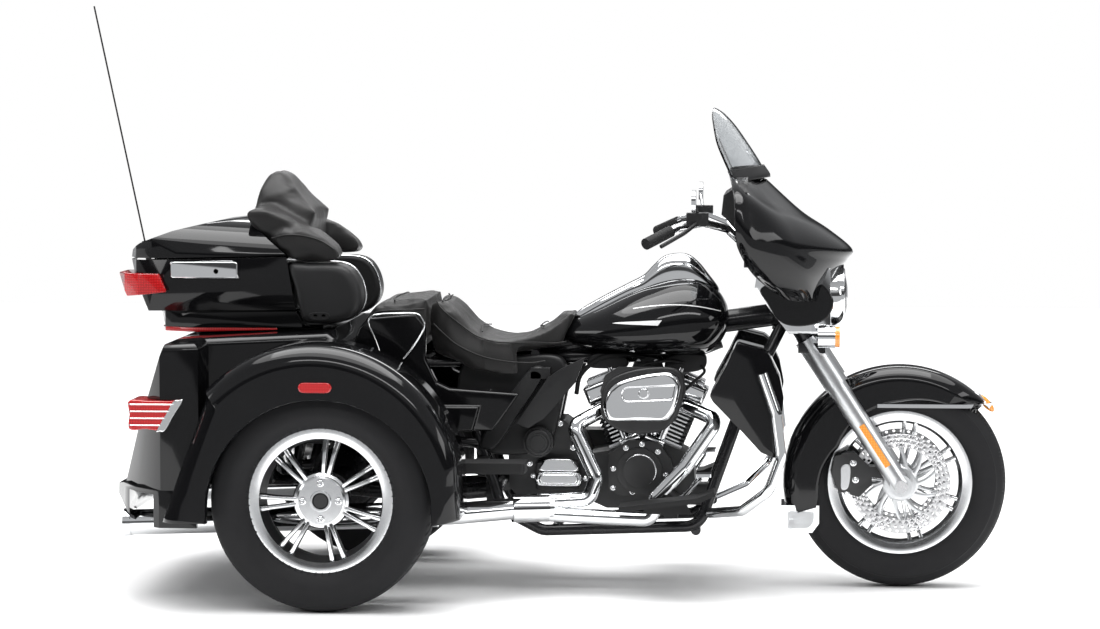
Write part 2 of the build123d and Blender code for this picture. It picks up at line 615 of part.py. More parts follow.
lidSolid = wall(placed(lidSide, rx), -300, 300) & boxShape(0) & front(lidFront, rx(-700), rx(0))
lidHollow = wall(inset(placed(lidSide, rx), skin + 1), -300,
    300) + wall(placed([(-634, 980), (-634, 1006), (-160, 1016), (-160, 980)], rx), -300, 300)
lidHollow = lidHollow & boxShape(skin + 1) & front(inset(lidFront, skin + 1), rx(-700), rx(0))
lid = lidSolid - lidHollow
for x in (-500, -240):
    lid += block(rx(x + 0.6), rx(x + 34), 281, hingeY, hingeZ + 2,
        hingeZ + 9) + rod((rx(x + 0.6), hingeY, hingeZ), (rx(x + 34), hingeY, hingeZ), hingeR)
keep("luggage_lid", lid)

armSide = [(-206, 1070), (-165, 1086), (-105, 1090), (-50, 1074), (0, 1042), (17, 1016), (8, 994),
    (-15, 991), (-142, 991), (-162, 1004)]
armHalfOut, armHalfIn = 285.0, 176.0
backrest = wall(placed([(-283, 1117), (-288, 1138), (-270, 1152), (-222, 1150), (-160, 1120),
    (-110, 1090), (-90, 1040), (-108, 1000),
                        (-142, 991), (-162, 1002)], rx), -armHalfOut + 22, armHalfOut - 22)
backrest += wall(placed([(-270, 1140), (-287, 1146), (-262, 1206), (-238, 1246), (-212, 1261),
    (-190, 1252), (-140, 1180), (-81, 1120),
                         (-100, 1060)], rx), -160, 160) & front(both([(160, 1050), (158, 1120),
                         (132, 1200), (84, 1250), (40, 1262)]), rx(-300), rx(0))
for s in (-1, 1):
    arm = eased(wall(placed(armSide, rx), min(s * armHalfIn, s * armHalfOut),
        max(s * armHalfIn, s * armHalfOut)), 12, Axis.Y)
    backrest += arm
backrest = backrest - lidSolid - wall(placed([(-500, 900), (-134, 900), (-134, 985), (-144.6, 1008.2),
    (-500, 1008.2)], rx), -300, 300)
backrest = biggest(backrest)
keep("backrest", backrest)

podSide = [(-127 + fit, 846), (-148 + fit, 984), (-40, 984), (10, 972), (52, 936), (71, 888), (60, 842),
    (24, 812), (-24, 805), (-100, 806)]
pods = []
for s in (-1, 1):
    pod = eased(wall(placed(podSide, rx), -286, -160), 8, Axis.Y)
    pod = pod - wall(placed([(-700, 700), (-127 + fit, 700), (-127 + fit, 844), (-150 + fit, 1003),
        (-700, 1003)], rx), -400, 400)
    pods.append(pod if s < 0 else flip(pod))
keep("speaker_pods", *pods)
trayPlan = placed([(-110, -240), (-450, -240), (-530, -200), (-556, -120)], rx)
tray = wall(placed([(-566, 840 - fit), (-530, 790), (-106, 790), (-106, 806), (-128, 840 - fit)], rx),
    -250, 250)
tray &= slab(trayPlan + [(x, -y) for x, y in reversed(trayPlan)], 700, 900)
tray += block(rx(-112), rx(-20), -155, 155, 792, 826)
roofSlope = (789 - 767) / (457 - 10)
rack = wall(placed([(-440, 767 + 17 * roofSlope + fit), (-60, 767 + 397 * roofSlope + fit), (-60, 790),
    (-440, 790)], rx), -150, 150)
rack -= block(rx(-410), rx(-90), -110, 110, 700, 800)
keep("luggage_rack", tray + rack)
bar = wall(placed([(-548, 790 - fit), (-540, 776), (-440, 776), (-186, 783), (-186, 790 - fit)], rx),
    -238, 238)
bar = bar & slab(trayPlan + [(x, -y) for x, y in reversed(trayPlan)], 700, 900)
bar -= block(rx(-500), rx(-100), -200, 200, 700, 800)
corners = []
for s in (-1, 1):
    lamp = slab(placed([(-669, -70), (-669, -196), (-640, -262), (-592, -296), (-511, -293), (-511, -260),
        (-580, -230), (-600, -70)], rx), 884, 952)
    lamp &= wall(placed([(-672, 952), (-632, 884), (-508, 898), (-532, 952)], rx), -300, 300)
    lamp = lamp - (wall(placed(boxSide, rx), -300, 300) & boxShape(0) & front(boxFront, rx(-700), rx(0)))
    lamp = biggest(lamp)
    corners.append(lamp if s < 0 else flip(lamp))
keep("luggage_lamps", *corners, bar)
latch = eased(block(rx(-496), rx(-296), -290, -270, 940, 988), 8,
    Axis.Y) - (boxShape(0) & front(boxFront, rx(-700), rx(0)))
keep("latch_plate", biggest(latch))
mastLean = (841.0 - 668.0) / (1757.0 - 940.0)
mast = rod((rx(-672), 262, 960), (rx(-838.5), 262, 1757), 2.6) + rod((rx(-671), 262, 956),
    (rx(-668 - 83 * mastLean), 262, 1023), 9)
mast += block(rx(-680), rx(-560), 250, 274, 956, 966)
mast -= boxShape(0) & front(boxFront, rx(-700), rx(0))
keep("aerial", biggest(mast))

# Fork: axle, two sliders, tubes in two clamps around the steering stem
forkSin, forkCos = sin(radians(forkDeg)), cos(radians(forkDeg))


def onFork(t, ahead=0.0):
    """Side-view place t up the fork from the axle, ahead of its centre line."""
    return fx(-forkSin * t + forkCos * ahead), frontZ + forkCos * t + forkSin * ahead


def onStem(z):
    return fx(trail - z * rakeTan)


legTop = 520.0
legs = []
for s in (-1, 1):
    y = s * forkHalfSpan
    (xa, za), (xb, zb), (xc, zc) = onFork(0), onFork(357), onFork(legTop)
    leg = rod((xa, y, za), (xb, y, zb), 31) + rod((xb, y, zb), (xc, y, zc), 36) + drum(xa, y, za, 33, 42)
    legs.append(leg - drum(xa, y, za, axleR + fit, 80))
keep("fork_sliders", *legs)
shaft = drum(frontAxleX, 0, frontZ, axleR, 2 * forkHalfSpan + 70)
for s in (-1, 1):
    shaft += drum(frontAxleX, s * (forkHalfSpan + 31 + fit + 5), frontZ, 19, 10)
    spacer = (frontHubHalf + 4, forkHalfSpan - 31 - fit)
    shaft += drum(frontAxleX, s * (spacer[0] + spacer[1]) / 2, frontZ, 18, spacer[1] - spacer[0])
keep("front_axle", shaft)

clampLow, clampHigh = (716.0, 746.0), (970.0, 992.0)
clamps = rod((onStem(720), 0, 720), (onStem(988), 0, 988), 17)
for z0, z1 in (clampLow, clampHigh):
    z = (z0 + z1) / 2
    tube = onFork((z - frontZ) / forkCos)[0]
    plan = [(onStem(z) + 34, -30), (onStem(z) + 34, 30), (tube + 40, forkHalfSpan + 34),
        (tube - 40, forkHalfSpan + 34), (tube - 40, 60),
            (onStem(z) - 34, 40), (onStem(z) - 34, -40), (tube - 40, -60),
            (tube - 40, -forkHalfSpan - 34), (tube + 40, -forkHalfSpan - 34)]
    clamps += slab(plan, z0, z1)
for s in (-1, 1):
    (xa, za), (xb, zb) = onFork(legTop - 30), onFork((988 - frontZ) / forkCos)
    clamps += rod((xa, s * forkHalfSpan, za), (xb, s * forkHalfSpan, zb), 25)
clamps = clamps - legs[0] - legs[1]
keep("fork_clamps", clamps)

# Front fender turned about the axle, its trim rail and mud guard box
fenderOut, fenderSide = 352.0, 80.0
outer = [(230, fenderSide), (300, fenderSide), (330, 74), (344, 58), (350, 34), (fenderOut, 0)]
fenderFull = turned([(1, fenderSide), *outer[1:], *[(r, -w) for r, w in reversed(outer[1:-1])],
    (1, -fenderSide)], frontAxleX, 0, frontZ)
fenderCut = wall(placed([(300, 559), (-76, 553), (-128, 486), (-238, 290), (-242, 240), (-400, 240),
    (-400, 720), (300, 720)], fx), -90, 90)
fender = (fenderFull - turned([(1, fenderSide - 4), (299, fenderSide - 4), (327, 71), (340, 56),
    (346, 33), (fenderOut - 4, 0), (346, -33),
                               (340, -56), (327, -71), (299, 4 - fenderSide), (1, 4 - fenderSide)],
                               frontAxleX, 0, frontZ)) & fenderCut
for s in (-1, 1):
    pad = wall([onFork(180, -26), onFork(180, 26), onFork(285, 26), onFork(285, -26)], s * 84 - 6,
        s * 84 + 6)
    fender += pad - legs[0] - legs[1]
fender = biggest(fender)
keep("front_fender", fender)
railPlan = placed([(-70, -86), (190, -86), (240, -66), (268, -34), (276, 0)], fx)
rail = slab(railPlan + [(x, -y) for x, y in reversed(railPlan[:-1])], 548, 559)
rail = rail - fenderFull - drum(frontAxleX, 0, frontZ, frontTyreR + 9, 144)
flap = wall(placed([(-242, 250), (-242, 196), (-262, 168), (-345, 168), (-356, 188), (-356, 250)], fx),
    -76, 76) - drum(frontAxleX, 0, frontZ, 331, 142)
flap = flap - fender
rails = [one for one in rail.solids() if one.volume > 2000]
keep("fender_trim", *rails, *[one for one in flap.solids() if one.volume > 5000])

calipers = []
for s in (-1, 1):
    body = eased(wall(placed([(-196, 402), (-140, 416), (-92, 372), (-84, 318), (-124, 280), (-184, 296),
        (-206, 348)], fx), 58, 97), 8, Axis.Y)
    body = body & drum(frontAxleX, 75, frontZ, 196, 80)
    body += wall(placed([(-196, 402), (-140, 416), (-92, 372), (-84, 318), (-124, 280), (-184, 296),
        (-206, 348)], fx), 84, 97)
    body -= drum(frontAxleX, discY, frontZ, 157, 15) + drum(frontAxleX, 45, frontZ, 140, 60)
    body += block(fx(-112), fx(-20), 84, 97, 340, 372)
    body = body - legs[1] - fender
    body = biggest(body)
    calipers.append(body if s > 0 else flip(body))
keep("front_calipers", *calipers)
reflectors = []
for s in (-1, 1):
    strip = wall([onFork(72, -9), onFork(72, 9), onFork(218, 9), onFork(218, -9)], forkHalfSpan + 26,
        forkHalfSpan + 35) - legs[1]
    strip = biggest(strip)
    reflectors.append(strip if s > 0 else flip(strip))

# Chrome lamp nacelle, headlamp, turn signals on a bar
nacelleSide = [(-438, 905), (-296, 722), (-262, 716), (-226, 760), (-212, 800), (-214, 968), (-300, 985),
    (-430, 960)]
nacelle = wall(placed(nacelleSide, fx), -152, 152) & front(both([(0, 700), (90, 700), (152, 780),
    (152, 990), (0, 990)][1:-1]), fx(-450), fx(-180))
nacelleIn = wall(placed([(-520, 905), (-440, 905), (-305, 728), (-266, 724), (-232, 764), (-218, 802),
    (-220, 1000), (-520, 1000)], fx), -147, 147)
nacelle -= nacelleIn
nacelle = nacelle - clamps - legs[0] - legs[1]
nacelle = biggest(nacelle)
lampZ = 886.0


def along(x0, x1, y, z, r):
    return rod((fx(x0), y, z), (fx(x1), y, z), r)


nacelle += along(-218, -172, 0, lampZ, 90) - along(-186, -160, 0, lampZ, 80)
keep("lamp_nacelle", nacelle)
keep("headlamp_lens", along(-186 + fit, -170, 0, lampZ, 80 - fit))
signalZ, signalY = 770.0, 205.0
arms = rod((fx(-216), -signalY, signalZ), (fx(-216), signalY, signalZ), 9)
lens = []
for s in (-1, 1):
    arms += along(-250, -200, s * signalY, signalZ, 33)
    lens.append(along(-200 + fit, -186, s * signalY, signalZ, 31))
arms = arms - nacelle
keep("signal_bar", biggest(arms))
keep("amber_lenses", *lens, *reflectors)

# Fork-mounted fairing: outer shell, instrument panel, windshield
fairSide = [(-146, 1020), (-172, 966), (-222, 905), (-262, 888), (-352, 916), (-467, 1026), (-488, 1080),
    (-492, 1200), (-512, 1249),
            (-412, 1249), (-380, 1200), (-267, 1112)]
fairPlan = [(-140, 0), (-146, -60), (-190, -150), (-260, -240), (-350, -322), (-430, -372), (-520, -396)]
fairFront = [(0, 1249), (208, 1249), (300, 1226), (368, 1180), (394, 1120), (386, 1066), (330, 1010),
    (224, 930), (120, 880), (0, 880)]


def fairing(d):
    side = inset(placed(fairSide, fx), d)
    plan = [(fx(x), y) for x, y in fairPlan]
    plan = inset(plan + [(x, -y) for x, y in reversed(plan[1:])], d)
    face = inset(fairFront + [(-y, z) for y, z in reversed(fairFront[1:-1])], d)
    return wall(side, -400, 400) & slab(plan, 850, 1300) & front(face, fx(-560), fx(-100))


shellT = 5.0
fair = fairing(0)
fairIn = fairing(shellT)
rearOpen = front(inset(fairFront + [(-y, z) for y, z in reversed(fairFront[1:-1])], shellT + 1), fx(-560),
    fx(-468))
rearOpen &= wall(placed([(-560, 1034), (-470, 1034), (-480, 1080), (-486, 1200), (-500, 1238),
    (-560, 1238)], fx), -400, 400)
lampHole = along(-330, -100, 0, lampZ, 96)
shell = fair - fairIn - rearOpen - lampHole - block(fx(-470), fx(-225), -150, 150, 850, 990)
shell = biggest(shell) - nacelle - clamps
shell = biggest(shell)

# Handlebar, grips, controls and mirrors
barPath = [(fx(-438), 0, 1012), (fx(-450), 70, 1014), (fx(-520), 170, 1085), (fx(-590), 262, 1108),
    (fx(-664), 318, 1094)]
gripEnd, gripStart = (fx(-750), 420, 1052), (fx(-682), 334, 1085)
half = pipe(barPath + [(fx(-744), 412, 1055)], 12.7, 28)
bars = half + flip(half) + block(fx(-470), fx(-415), -50, 50, clampHigh[1], 1030)
grip = rod(gripStart, gripEnd, 17) - half
grips = [grip, flip(grip)]
housing = rod((fx(-664), 311, 1093), gripStart, 24) + block(fx(-636), fx(-572), 270, 318, 1100, 1138)
lever = pipe([(fx(-600), 300, 1112), (fx(-640), 372, 1082), (fx(-705), 440, 1046)], 6, 20)
housing = housing + lever - half - grip
housing = biggest(housing)
stalk = pipe([(fx(-604), 290, 1136), (fx(-612), 340, 1168), (fx(-612), 372, 1170)], 5, 12)
glass = extrude(Plane(origin=(fx(-606), 396, 1176), x_dir=(0, 1, 0),
    z_dir=(-1, 0, 0)) * RectangleRounded(104, 62, 28), amount=12)
mirrorArm = stalk + glass - housing
mirrorArm = biggest(mirrorArm)
shell = shell - half - flip(half) - block(fx(-475), fx(-410), -55, 55, 960, 1035)
keep("handlebar", bars)
keep("hand_grips", *grips)
keep("hand_controls", housing, flip(housing))
keep("mirrors", mirrorArm, flip(mirrorArm))
keep("fairing_shell", biggest(shell))
panel = fairIn & wall(placed([(-468, 1036), (-458, 1036), (-458, 1240), (-500, 1240), (-484, 1180),
    (-484, 1090)], fx), -330, 330)
panel = biggest(panel)
panel += wall(placed([(-530, 1186), (-536, 1130), (-500, 1096), (-470, 1096), (-470, 1200), (-500, 1206)],
    fx), -215, 215)
panel = panel - shell - bars
keep("dash_panel", biggest(panel))

# Windshield: part of a leaning cylinder
screenR, screenT = 350.0, 4.0
screenLean = degrees(atan2(563 - 419, 1445 - 1243))
screen = Pos(fx(-419), 0, 1243) * Rot(0, -screenLean, 0) * Pos(-screenR, 0,
    80) * (Cylinder(screenR, 560) - Cylinder(screenR - screenT, 562))
screen &= front(both([(232, 1249 + fit), (226, 1290), (196, 1345), (150, 1390), (92, 1424), (40, 1441),
    (0, 1445)]), fx(-640), fx(-400))
screen = biggest(screen)
keep("windshield", screen)

# Lower fairings behind the guard, each with a glovebox lid facing the rider, and the guard itself
lowSide = [(-487, 760), (-410, 740), (-395, 728), (-362, 660), (-350, 600), (-360, 500), (-364, 420),
    (-415, 440), (-470, 500),
           (-556, 588), (-566, 606), (-520, 690)]
lowIn, lowOut = 178.0, 345.0
guardY = 372.0
guardR = 15.9
lowers, boxLids = [], []
low = eased(wall(placed(lowSide, fx), lowIn, lowOut), 12, Axis.Y)
lidTop, lidFoot = (-494.0, 742.0), (-556.0, 613.0)  # line of the glovebox lid, from the front axle
lidLong = sqrt((lidTop[0] - lidFoot[0]) ** 2 + (lidTop[1] - lidFoot[1]) ** 2)


def onLid(up, out):
    """Side-view place on a glovebox lid: up its line from the foot, out towards the rider."""
    ux, uz = (lidTop[0] - lidFoot[0]) / lidLong, (lidTop[1] - lidFoot[1]) / lidLong
    return fx(lidFoot[0] + ux * up - uz * out), lidFoot[1] + uz * up + ux * out


lidEdge = 26.0  # from the outer sides to the box opening
boxOpen = wall([onLid(2, 60), onLid(136, 60), onLid(136, -70), onLid(30, -78), onLid(2, -30)],
    lowIn + lidEdge, lowOut - lidEdge)
low = low - boxOpen
low = biggest(low)
pinUp, pinOut = 13.0, -2.0
lidPin = onLid(pinUp, pinOut)
low += rod((lidPin[0], lowIn + lidEdge - 1, lidPin[1]), (lidPin[0], lowIn + lidEdge + 14, lidPin[1]), 2.5)
low += rod((lidPin[0], lowOut - lidEdge - 14, lidPin[1]), (lidPin[0], lowOut - lidEdge + 1, lidPin[1]), 2.5)
for s in (-1, 1):
    lowers.append(low if s > 0 else flip(low))
keep("lower_fairings", *lowers)
lidBoard = wall([onLid(pinUp, 0), onLid(130, 0), onLid(130, -7), onLid(pinUp, -7)], lowIn + lidEdge + 5.5,
    lowOut - lidEdge - 5.5)
lidBoard += rod((lidPin[0], lowIn + lidEdge + 5.5, lidPin[1]),
    (lidPin[0], lowOut - lidEdge - 5.5, lidPin[1]), 5)
lidBoard -= rod((lidPin[0], lowIn, lidPin[1]), (lidPin[0], lowOut, lidPin[1]), 2.5 + pinFit)
keep("glovebox_lid_left", lidBoard)
keep("glovebox_lid_right", flip(lidBoard))
guardPath = [(fx(-566), 164, 236), (fx(-470), 300, 262), (fx(-392), guardY, 330), (fx(-356), guardY, 430),
    (fx(-372), guardY, 560),
             (fx(-400), guardY, 640), (fx(-412), guardY, 674)]
tube = pipe(guardPath, guardR, 50)
tube += rod((fx(-404), guardY, 655), (fx(-404), lowOut - 30, 655), 12)
tube = tube - low - frame
tube = biggest(tube)
keep("engine_guards", tube, flip(tube))

# Footboards and foot controls
board = wall(placed([(-829, 266), (-829, 282), (-600, 310), (-552, 330), (-546, 318), (-592, 296)], fx),
    290, 396)
board += wall(placed([(-760, 250), (-760, 276), (-640, 290), (-620, 250)], fx), 276, 300)
board += block(fx(-700), fx(-660), 160, 290, 236, 262)
board = biggest(board - frame - primary)
rest = eased(block(fx(-1305), fx(-1104), 284, 400, 376, 408), 12, Axis.Z)
rest += block(fx(-1262), fx(-1226), 150, 290, 384, 402)
rest = biggest(rest - frame)
keep("footboards", board, flip(board), rest, flip(rest))
pedal = pipe([(fx(-675), 168, 262), (fx(-640), 215, 300), (fx(-588), 320, 366)], 8,
    16) + eased(block(fx(-606), fx(-560), 300, 352, 366, 376), 5, Axis.Z)
pedal = pedal - board - frame - primary
pedal = biggest(pedal)
keep("foot_pedals", pedal, flip(pedal) - exhaust - cleaner)
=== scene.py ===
import json
from math import pi, radians

import bmesh
import bpy
import numpy as np
from mathutils import Matrix, Vector
from mathutils.bvhtree import BVHTree

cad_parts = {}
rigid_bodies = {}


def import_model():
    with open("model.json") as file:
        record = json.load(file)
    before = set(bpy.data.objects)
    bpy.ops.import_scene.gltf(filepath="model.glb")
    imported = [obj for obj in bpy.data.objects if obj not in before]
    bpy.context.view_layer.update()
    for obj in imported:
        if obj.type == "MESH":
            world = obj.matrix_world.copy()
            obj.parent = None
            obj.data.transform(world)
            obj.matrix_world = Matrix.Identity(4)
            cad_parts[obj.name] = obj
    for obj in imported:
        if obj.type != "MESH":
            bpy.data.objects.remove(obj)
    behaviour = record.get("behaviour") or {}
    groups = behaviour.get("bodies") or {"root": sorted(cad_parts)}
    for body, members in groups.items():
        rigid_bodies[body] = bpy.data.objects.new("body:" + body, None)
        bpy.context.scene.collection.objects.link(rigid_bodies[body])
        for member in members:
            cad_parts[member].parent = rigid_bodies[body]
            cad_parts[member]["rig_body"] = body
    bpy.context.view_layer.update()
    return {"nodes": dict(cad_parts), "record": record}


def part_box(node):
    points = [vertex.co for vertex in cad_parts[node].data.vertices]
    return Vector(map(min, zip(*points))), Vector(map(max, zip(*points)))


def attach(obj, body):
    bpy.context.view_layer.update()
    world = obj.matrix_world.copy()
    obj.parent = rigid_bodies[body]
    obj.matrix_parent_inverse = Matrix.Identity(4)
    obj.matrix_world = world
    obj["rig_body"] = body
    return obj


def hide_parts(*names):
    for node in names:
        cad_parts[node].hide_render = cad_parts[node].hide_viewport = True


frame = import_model()
nodes = frame["nodes"]
slotOf = {row["node"]: row["material_slot"] for row in frame["record"]["subparts"]}


def middle(node):
    low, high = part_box(node)
    return np.array((low + high) / 2)


frontAxle = middle("front_tyre") * (1, 0, 1)
rearAxle = middle("rear_tyre_right") * (1, 0, 1)
wheelY = abs(middle("rear_tyre_right")[1])
sides = (("right", -1), ("left", 1))
print("frame read:", len(nodes), "nodes")


class Wire:
    # one shader value; Python's operators add Math nodes
    def __init__(self, finish, out):
        self.finish, self.out = finish, out

    def maths(self, operation, other=0.0):
        return self.finish.node("Math", {"operation": operation}, {0: self, 1: other})

    def __add__(self, other):
        return self.maths("ADD", other)

    def __sub__(self, other):
        return self.maths("SUBTRACT", other)

    def __mul__(self, other):
        return self.maths("MULTIPLY", other)

    def __mod__(self, other):
        return self.maths("FLOORED_MODULO", other)

    def __gt__(self, other):
        return self.maths("GREATER_THAN", other)

    def __abs__(self):
        return self.maths("ABSOLUTE")


class Finish:
    # one material round a Principled shader; node() makes every other node
    def __init__(self, name, **fixed):
        self.material = bpy.data.materials.new(name)
        self.material.use_nodes = True
        self.tree = self.material.node_tree
        self.shader = self.tree.nodes["Principled BSDF"]
        for key, value in fixed.items():
            self.shader.inputs[key.replace("_", " ")].default_value = value

    def node(self, kind, settings=None, sockets=None, output=0):
        made = self.tree.nodes.new("ShaderNode" + kind)
        for key, value in (settings or {}).items():
            setattr(made, key, value)
        for key, value in (sockets or {}).items():
            if isinstance(value, Wire):
                self.tree.links.new(value.out, made.inputs[key])
            else:
                made.inputs[key].default_value = value
        return Wire(self, made.outputs[output])

    def place(self):
        return self.node("TexCoord", output="Object")

    def axes(self, vector=None):
        split = self.node("SeparateXYZ", None, {0: vector or self.place()})
        return [Wire(self, split.out.node.outputs[i]) for i in range(3)]

    def noise(self, scale, detail=3.0, rough=0.5, vector=None):
        return self.node("TexNoise", None, {"Vector": vector or self.place(), "Scale": scale,
            "Detail": detail, "Roughness": rough}, "Fac")

    def blend(self, share, first, second):
        return self.node("Mix", {"data_type": "RGBA"}, {"Factor": share, 6: first, 7: second}, 2)

    def span(self, value, low, high, fromLow=0.0, fromHigh=1.0):
        return self.node("MapRange", None, {"Value": value, "From Min": fromLow, "From Max": fromHigh,
            "To Min": low, "To Max": high})

    def bump(self, height, strength=0.3, distance=0.001):
        made = self.node("Bump", None, {"Height": height, "Strength": strength, "Distance": distance})
        self.feed(Normal=made)

    def feed(self, **links):
        for key, value in links.items():
            self.tree.links.new(value.out, self.shader.inputs[key.replace("_", " ")])


# finishes: one maker for each kind of surface
def glossBlack(name, roughness=0.06, coat=0.3, peel=0.02, depth=0.005):
    paint = Finish(name, Coat_Weight=coat, Coat_Roughness=0.03, Specular_IOR_Level=0.25)
    cloud = paint.noise(9.0, 4.0)
    dust = paint.noise(160.0, 2.0)
    paint.feed(Base_Color=paint.blend(cloud, (depth * 0.6, depth * 0.6, depth * 0.7, 1),
        (depth, depth, depth * 1.1, 1)))
    paint.feed(Roughness=paint.span(cloud + dust * 0.3, roughness * 0.7, roughness * 1.5, 0.3, 1.0))
    paint.bump(paint.noise(55.0, 2.0), peel, 0.0006)
    return paint


def bright(name, tint=(0.86, 0.87, 0.88, 1), roughness=0.05, smear=0.5):
    metal = Finish(name, Metallic=1.0, Base_Color=tint)
    haze = metal.noise(14.0, 5.0)
    metal.feed(Roughness=metal.span(haze, roughness, roughness * (1 + smear * 2), 0.35, 0.8))
    metal.bump(metal.noise(30.0, 2.0), 0.02, 0.0006)
    return metal


def satinSilver(name):
    metal = Finish(name, Metallic=1.0, Base_Color=(0.62, 0.63, 0.64, 1))
    grain = metal.noise(900.0, 2.0)
    metal.feed(Roughness=metal.span(grain + metal.noise(12.0) * 0.5, 0.24, 0.36, 0.4, 1.1))
    metal.bump(grain, 0.06, 0.0002)
    return metal


def wrinkleBlack(name, bump=0.35, shade=0.012, roughness=0.42):
    coat = Finish(name, Specular_IOR_Level=0.45)
    grain = coat.noise(700.0, 4.0, 0.6)
    cloud = coat.noise(18.0, 4.0)
    coat.feed(Base_Color=coat.blend(cloud, (shade, shade, shade, 1),
        (shade * 2, shade * 2, shade * 2.1, 1)))
    coat.feed(Roughness=coat.span(grain, roughness - 0.08, roughness + 0.1))
    coat.bump(grain, bump, 0.0004)
    return coat


def finnedBlack(name, edge=0.0655):
    # black barrel whose fin edges, more than edge to the side, are machined bright
    coat = Finish(name, Specular_IOR_Level=0.5)
    y = coat.axes()[1]
    ny = coat.axes(coat.node("NewGeometry", output="Normal"))[1]
    cut = (abs(y) > edge) * (abs(ny) > 0.6)
    grain = coat.noise(600.0, 3.0)
    coat.feed(Base_Color=coat.blend(cut, (0.014, 0.014, 0.015, 1), (0.72, 0.73, 0.74, 1)), Metallic=cut,
              Roughness=coat.span(cut, 0.45, 0.22) + grain * 0.05)
    coat.bump(grain, 0.25, 0.0003)
    return coat


def castAlloy(name):
    # machined faces look out to the sides; everything between them is black
    alloy = Finish(name, Specular_IOR_Level=0.5)
    ny = alloy.axes(alloy.node("NewGeometry", output="Normal"))[1]
    face = abs(ny) > 0.30
    turned = alloy.noise(60.0, 3.0)
    alloy.feed(Base_Color=alloy.blend(face, (0.02, 0.02, 0.021, 1), (0.80, 0.81, 0.82, 1)), Metallic=face,
               Roughness=alloy.span(face, 0.35, 0.12) + turned * 0.06)
    alloy.bump(alloy.noise(350.0, 2.0), 0.04, 0.0002)
    return alloy


def tyreRubber(name):
    rubber = Finish(name, Specular_IOR_Level=0.22)
    cloud = rubber.noise(25.0, 4.0)
    rubber.feed(Base_Color=rubber.blend(cloud, (0.007, 0.007, 0.008, 1), (0.015, 0.015, 0.016, 1)))
    rubber.feed(Roughness=rubber.span(cloud, 0.52, 0.72))
    rubber.bump(rubber.noise(500.0, 3.0), 0.2, 0.0004)
    return rubber


def leatherBlack(name):
    hide = Finish(name, Specular_IOR_Level=0.3, Sheen_Weight=0.05)
    cells = hide.node("TexVoronoi", {"feature": "DISTANCE_TO_EDGE"},
        {"Vector": hide.place(), "Scale": 420.0}, "Distance")
    folds = hide.noise(22.0, 5.0)
    hide.feed(Base_Color=hide.blend(folds, (0.007, 0.007, 0.007, 1), (0.015, 0.014, 0.014, 1)))
    hide.feed(Roughness=hide.span(folds + cells * 0.4, 0.34, 0.52, 0.3, 0.9))
    hide.bump(hide.span(cells, 0.0, 1.0, 0.0, 0.25) + folds * 0.6, 0.28, 0.0007)
    return hide


def mouldedPlastic(name, shade, roughness=0.45, grainScale=900.0):
    plastic = Finish(name, Specular_IOR_Level=0.25)
    grain = plastic.noise(grainScale, 3.0)
    cloud = plastic.noise(12.0, 3.0)
    plastic.feed(Base_Color=plastic.blend(cloud, (shade * 0.8, shade * 0.8, shade * 0.82, 1),
        (shade * 1.25, shade * 1.25, shade * 1.3, 1)))
    plastic.feed(Roughness=plastic.span(grain + cloud * 0.4, roughness - 0.08, roughness + 0.1, 0.4, 1.0))
    plastic.bump(grain, 0.15, 0.0003)
    return plastic


def lampLens(name, deep, painted_reflector_light):
    # ribbed coloured plastic over a reflector: rows of small cushions, deep colour in their middles and
    # painted reflector light (a painted highlight) towards their edges
    lens = Finish(name, Coat_Weight=1.0, Coat_Roughness=0.03, Specular_IOR_Level=0.6)
    x, _, z = lens.axes()
    rib = abs((x * 130.0) % 1.0 - 0.5) + abs((z * 130.0) % 1.0 - 0.5)
    # the lighter colour towards each cushion's edge is painted reflector light, not the lens's own colour
    lens.feed(Base_Color=lens.blend(rib, deep, painted_reflector_light), Roughness=lens.span(rib, 0.12, 0.3))
    lens.bump(rib, 0.35, 0.0008)
    return lens


def clearPlastic(name, smoke=(0.93, 0.95, 0.96, 1)):
    sheet = Finish(name, Transmission_Weight=1.0, IOR=1.2, Base_Color=smoke)
    sheet.feed(Roughness=sheet.span(sheet.noise(20.0), 0.015, 0.05))
    return sheet


finishes = {
    "tyre": tyreRubber("tyreRubber"),
    "cast_wheel": castAlloy("castAlloy"),
    "steel": bright("discSteel", (0.62, 0.62, 0.63, 1), 0.2),
    "chrome": bright("chromePlate"),
    "satin_metal": satinSilver("sliderSilver"),
    "frame_paint": glossBlack("framePaint", 0.22, 0.2, 0.03, 0.012),
    "body_paint": glossBlack("deepBlackPaint"),
    "body_plastic": glossBlack("deepBlackPanel", 0.08, 0.25),
    "engine_black": wrinkleBlack("wrinkleCoat"),
    "dark_plastic": mouldedPlastic("satinDarkPlastic", 0.018, 0.4),
    "seat_cover": leatherBlack("grainedCover"),
    "rubber": mouldedPlastic("softRubber", 0.012, 0.6, 500.0),
    "red_lens": lampLens("redLens", (0.30, 0.002, 0.004, 1), (0.62, 0.004, 0.006, 1)),
    "amber_lens": lampLens("amberLens", (0.75, 0.20, 0.01, 1), (0.95, 0.42, 0.05, 1)),
    "clear_screen": clearPlastic("clearScreen"),
    "lamp_glass": clearPlastic("lampGlass", (0.97, 0.98, 1.0, 1)),
}
finned = finnedBlack("finnedBarrel")
for node, obj in nodes.items():
    obj.data.materials.clear()
    obj.data.materials.append((finned if node == "cylinders" else finishes[slotOf[node]]).material)
print("finishes made:", len(finishes) + 1)


# mesh helpers: tables are in millimetres, meshes in metres
def fromFront(points):
    return np.asarray(points, float) / 1000 + (frontAxle[0], 0, 0)


def fromRear(points):
    return np.asarray(points, float) / 1000 + (rearAxle[0], 0, 0)


